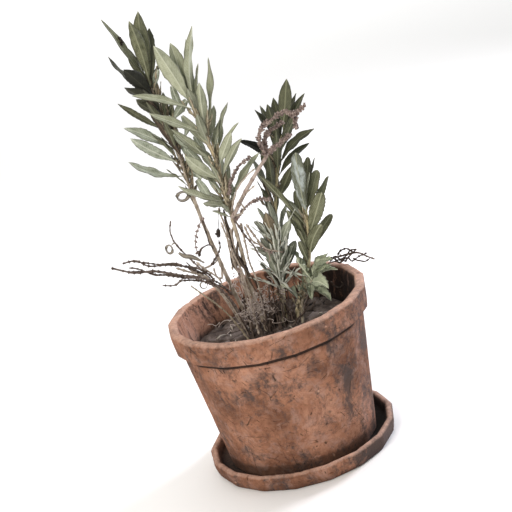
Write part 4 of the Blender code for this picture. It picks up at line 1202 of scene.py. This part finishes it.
between = [
    [(-34, 16, 361), (-38, 16, 355), (-41, 16, 347)],
    [(-27, 20, 344), (-26, 20, 331), (-23, 20, 320)], [(-18, 10, 331), (-28, 10, 323), (-33, 10, 318)],
    [(-25, 10, 319), (-24, 10, 308), (-29, 10, 300)], [(-36, 4, 307), (-30, 4, 297), (-22, 4, 289)],
    [(-29, 4, 291), (-24, 4, 281), (-18, 4, 270)], [(-34, 16, 300), (-30, 14, 286), (-27, 12, 272)],
    [(-20, 8, 300), (-17, 6, 288), (-15, 2, 276)], [(-38, 16, 282), (-31, 14, 270), (-24, 10, 262)],
    [(-18, 6, 262), (-14, 2, 252), (-12, -4, 244)], [(-4, 6, 282), (-6, 2, 268), (-8, -4, 256)],
    [(-28, 12, 262), (-24, 8, 250), (-20, 4, 238)], [(-6, -2, 262), (-2, -4, 250), (-4, -8, 240)],
]
parts = [strip(route, 5.5 + (i % 3), Vector((0.2, -0.9, 0.3)).normalized(), i / 12)
         for i, route in enumerate(between)]
inner = foliage("inner_leaves", parts, leaf_frayed, THIN_LEAF)
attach(inner, "root")

# ---- Litter ----------------------------------------------------------------------------------------------
# Broken bits of withered leaf, each a short bent ribbon. They lie loose on the crust, half of them gathered
# at the left.

chance = random.Random(23)
parts = []
for number in range(46):
    left = number % 2
    if left:
        x, y = chance.uniform(-52, -18), chance.uniform(-46, -18)
    else:
        x, y = chance.gauss(0, 30), chance.gauss(0, 30)
    if math.hypot(x, y) > 66:
        continue
    angle = chance.uniform(-0.5, 0.7) if left else chance.uniform(0, 6.28)
    length = chance.uniform(4, 12)
    ends = [(x + length * k * math.cos(angle), y + length * k * math.sin(angle)) for k in (-0.5, 0, 0.5)]
    lifts = (0.7, 0.7 + chance.uniform(0, 1.3), 0.7)
    parts.append(strip([(a, b, crust(a, b) + lift) for (a, b), lift in zip(ends, lifts)],
                       chance.uniform(0.8, 3.0), Vector((0, 0, 1)), chance.random()))
litter = foliage("soil_litter", parts, leaf_withered, 0.3)
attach(litter, "root")

# ---- Floor, light and camera -----------------------------------------------------------------------------
# A plain pale floor under soft studio light: the key at the front left, a harder rim light behind at the
# right, a weak one overhead and a large one that brightens the floor behind. The camera is tipped by sixteen
# degrees, so the pot leans in its view.

white, tree, shader = finish("pale_floor", 0.9)
shader.inputs["Base Color"].default_value = linear("#f4f3f1")
bpy.ops.mesh.primitive_plane_add(size=40)
floor = bpy.context.object
floor.name = "floor"
floor.data.materials.append(white)

world = bpy.data.worlds.new("studio")
bpy.context.scene.world = world
world.use_nodes = True
world.node_tree.nodes["Background"].inputs["Color"].default_value = linear("#f2f5f9")
world.node_tree.nodes["Background"].inputs["Strength"].default_value = 0.37
lamps = [
    ("key", (-0.75, -1.25, 1.15), 0.7, 20.5, "#fff8ef"), ("rim", (1.0, 0.62, 0.55), 0.35, 19, "#f4f4ff"),
    ("top", (0.0, 0.2, 1.8), 1.2, 9, "#ffffff"), ("backdrop", (-0.5, 4.9, 2.4), 6.0, 190, "#ffffff"),
]
for name, place, size, power, colour in lamps:
    lamp = bpy.data.lights.new(name, "AREA")
    lamp.size, lamp.energy, lamp.color = size, power, linear(colour)[:3]
    holder = bpy.data.objects.new(name, lamp)
    bpy.context.scene.collection.objects.link(holder)
    holder.location = place
    aim = Vector((0, 0, 0.16)) - Vector(place) if name != "backdrop" else Vector((0, 0, -1))
    holder.rotation_euler = aim.to_track_quat("-Z", "Y").to_euler()

elevation, tip_over, reach, aimed_at = math.radians(17.8), math.radians(-15.68), 1.1313, (0.0028, 0, 0.1852)
back = Vector((0, -math.cos(elevation), math.sin(elevation)))
level = Vector((1, 0, 0))
rise = back.cross(level)
across = level * math.cos(tip_over) + rise * math.sin(tip_over)
upright = rise * math.cos(tip_over) - level * math.sin(tip_over)
lens = bpy.data.cameras.new("camera")
lens.lens, lens.sensor_width = 91.8, 36
camera = bpy.data.objects.new("camera", lens)
bpy.context.scene.collection.objects.link(camera)
turned = Matrix((across, upright, back)).transposed().to_4x4()
camera.matrix_world = Matrix.Translation(Vector(aimed_at) + back * reach) @ turned
bpy.context.scene.camera = camera
bpy.context.scene.view_settings.view_transform = "Standard"
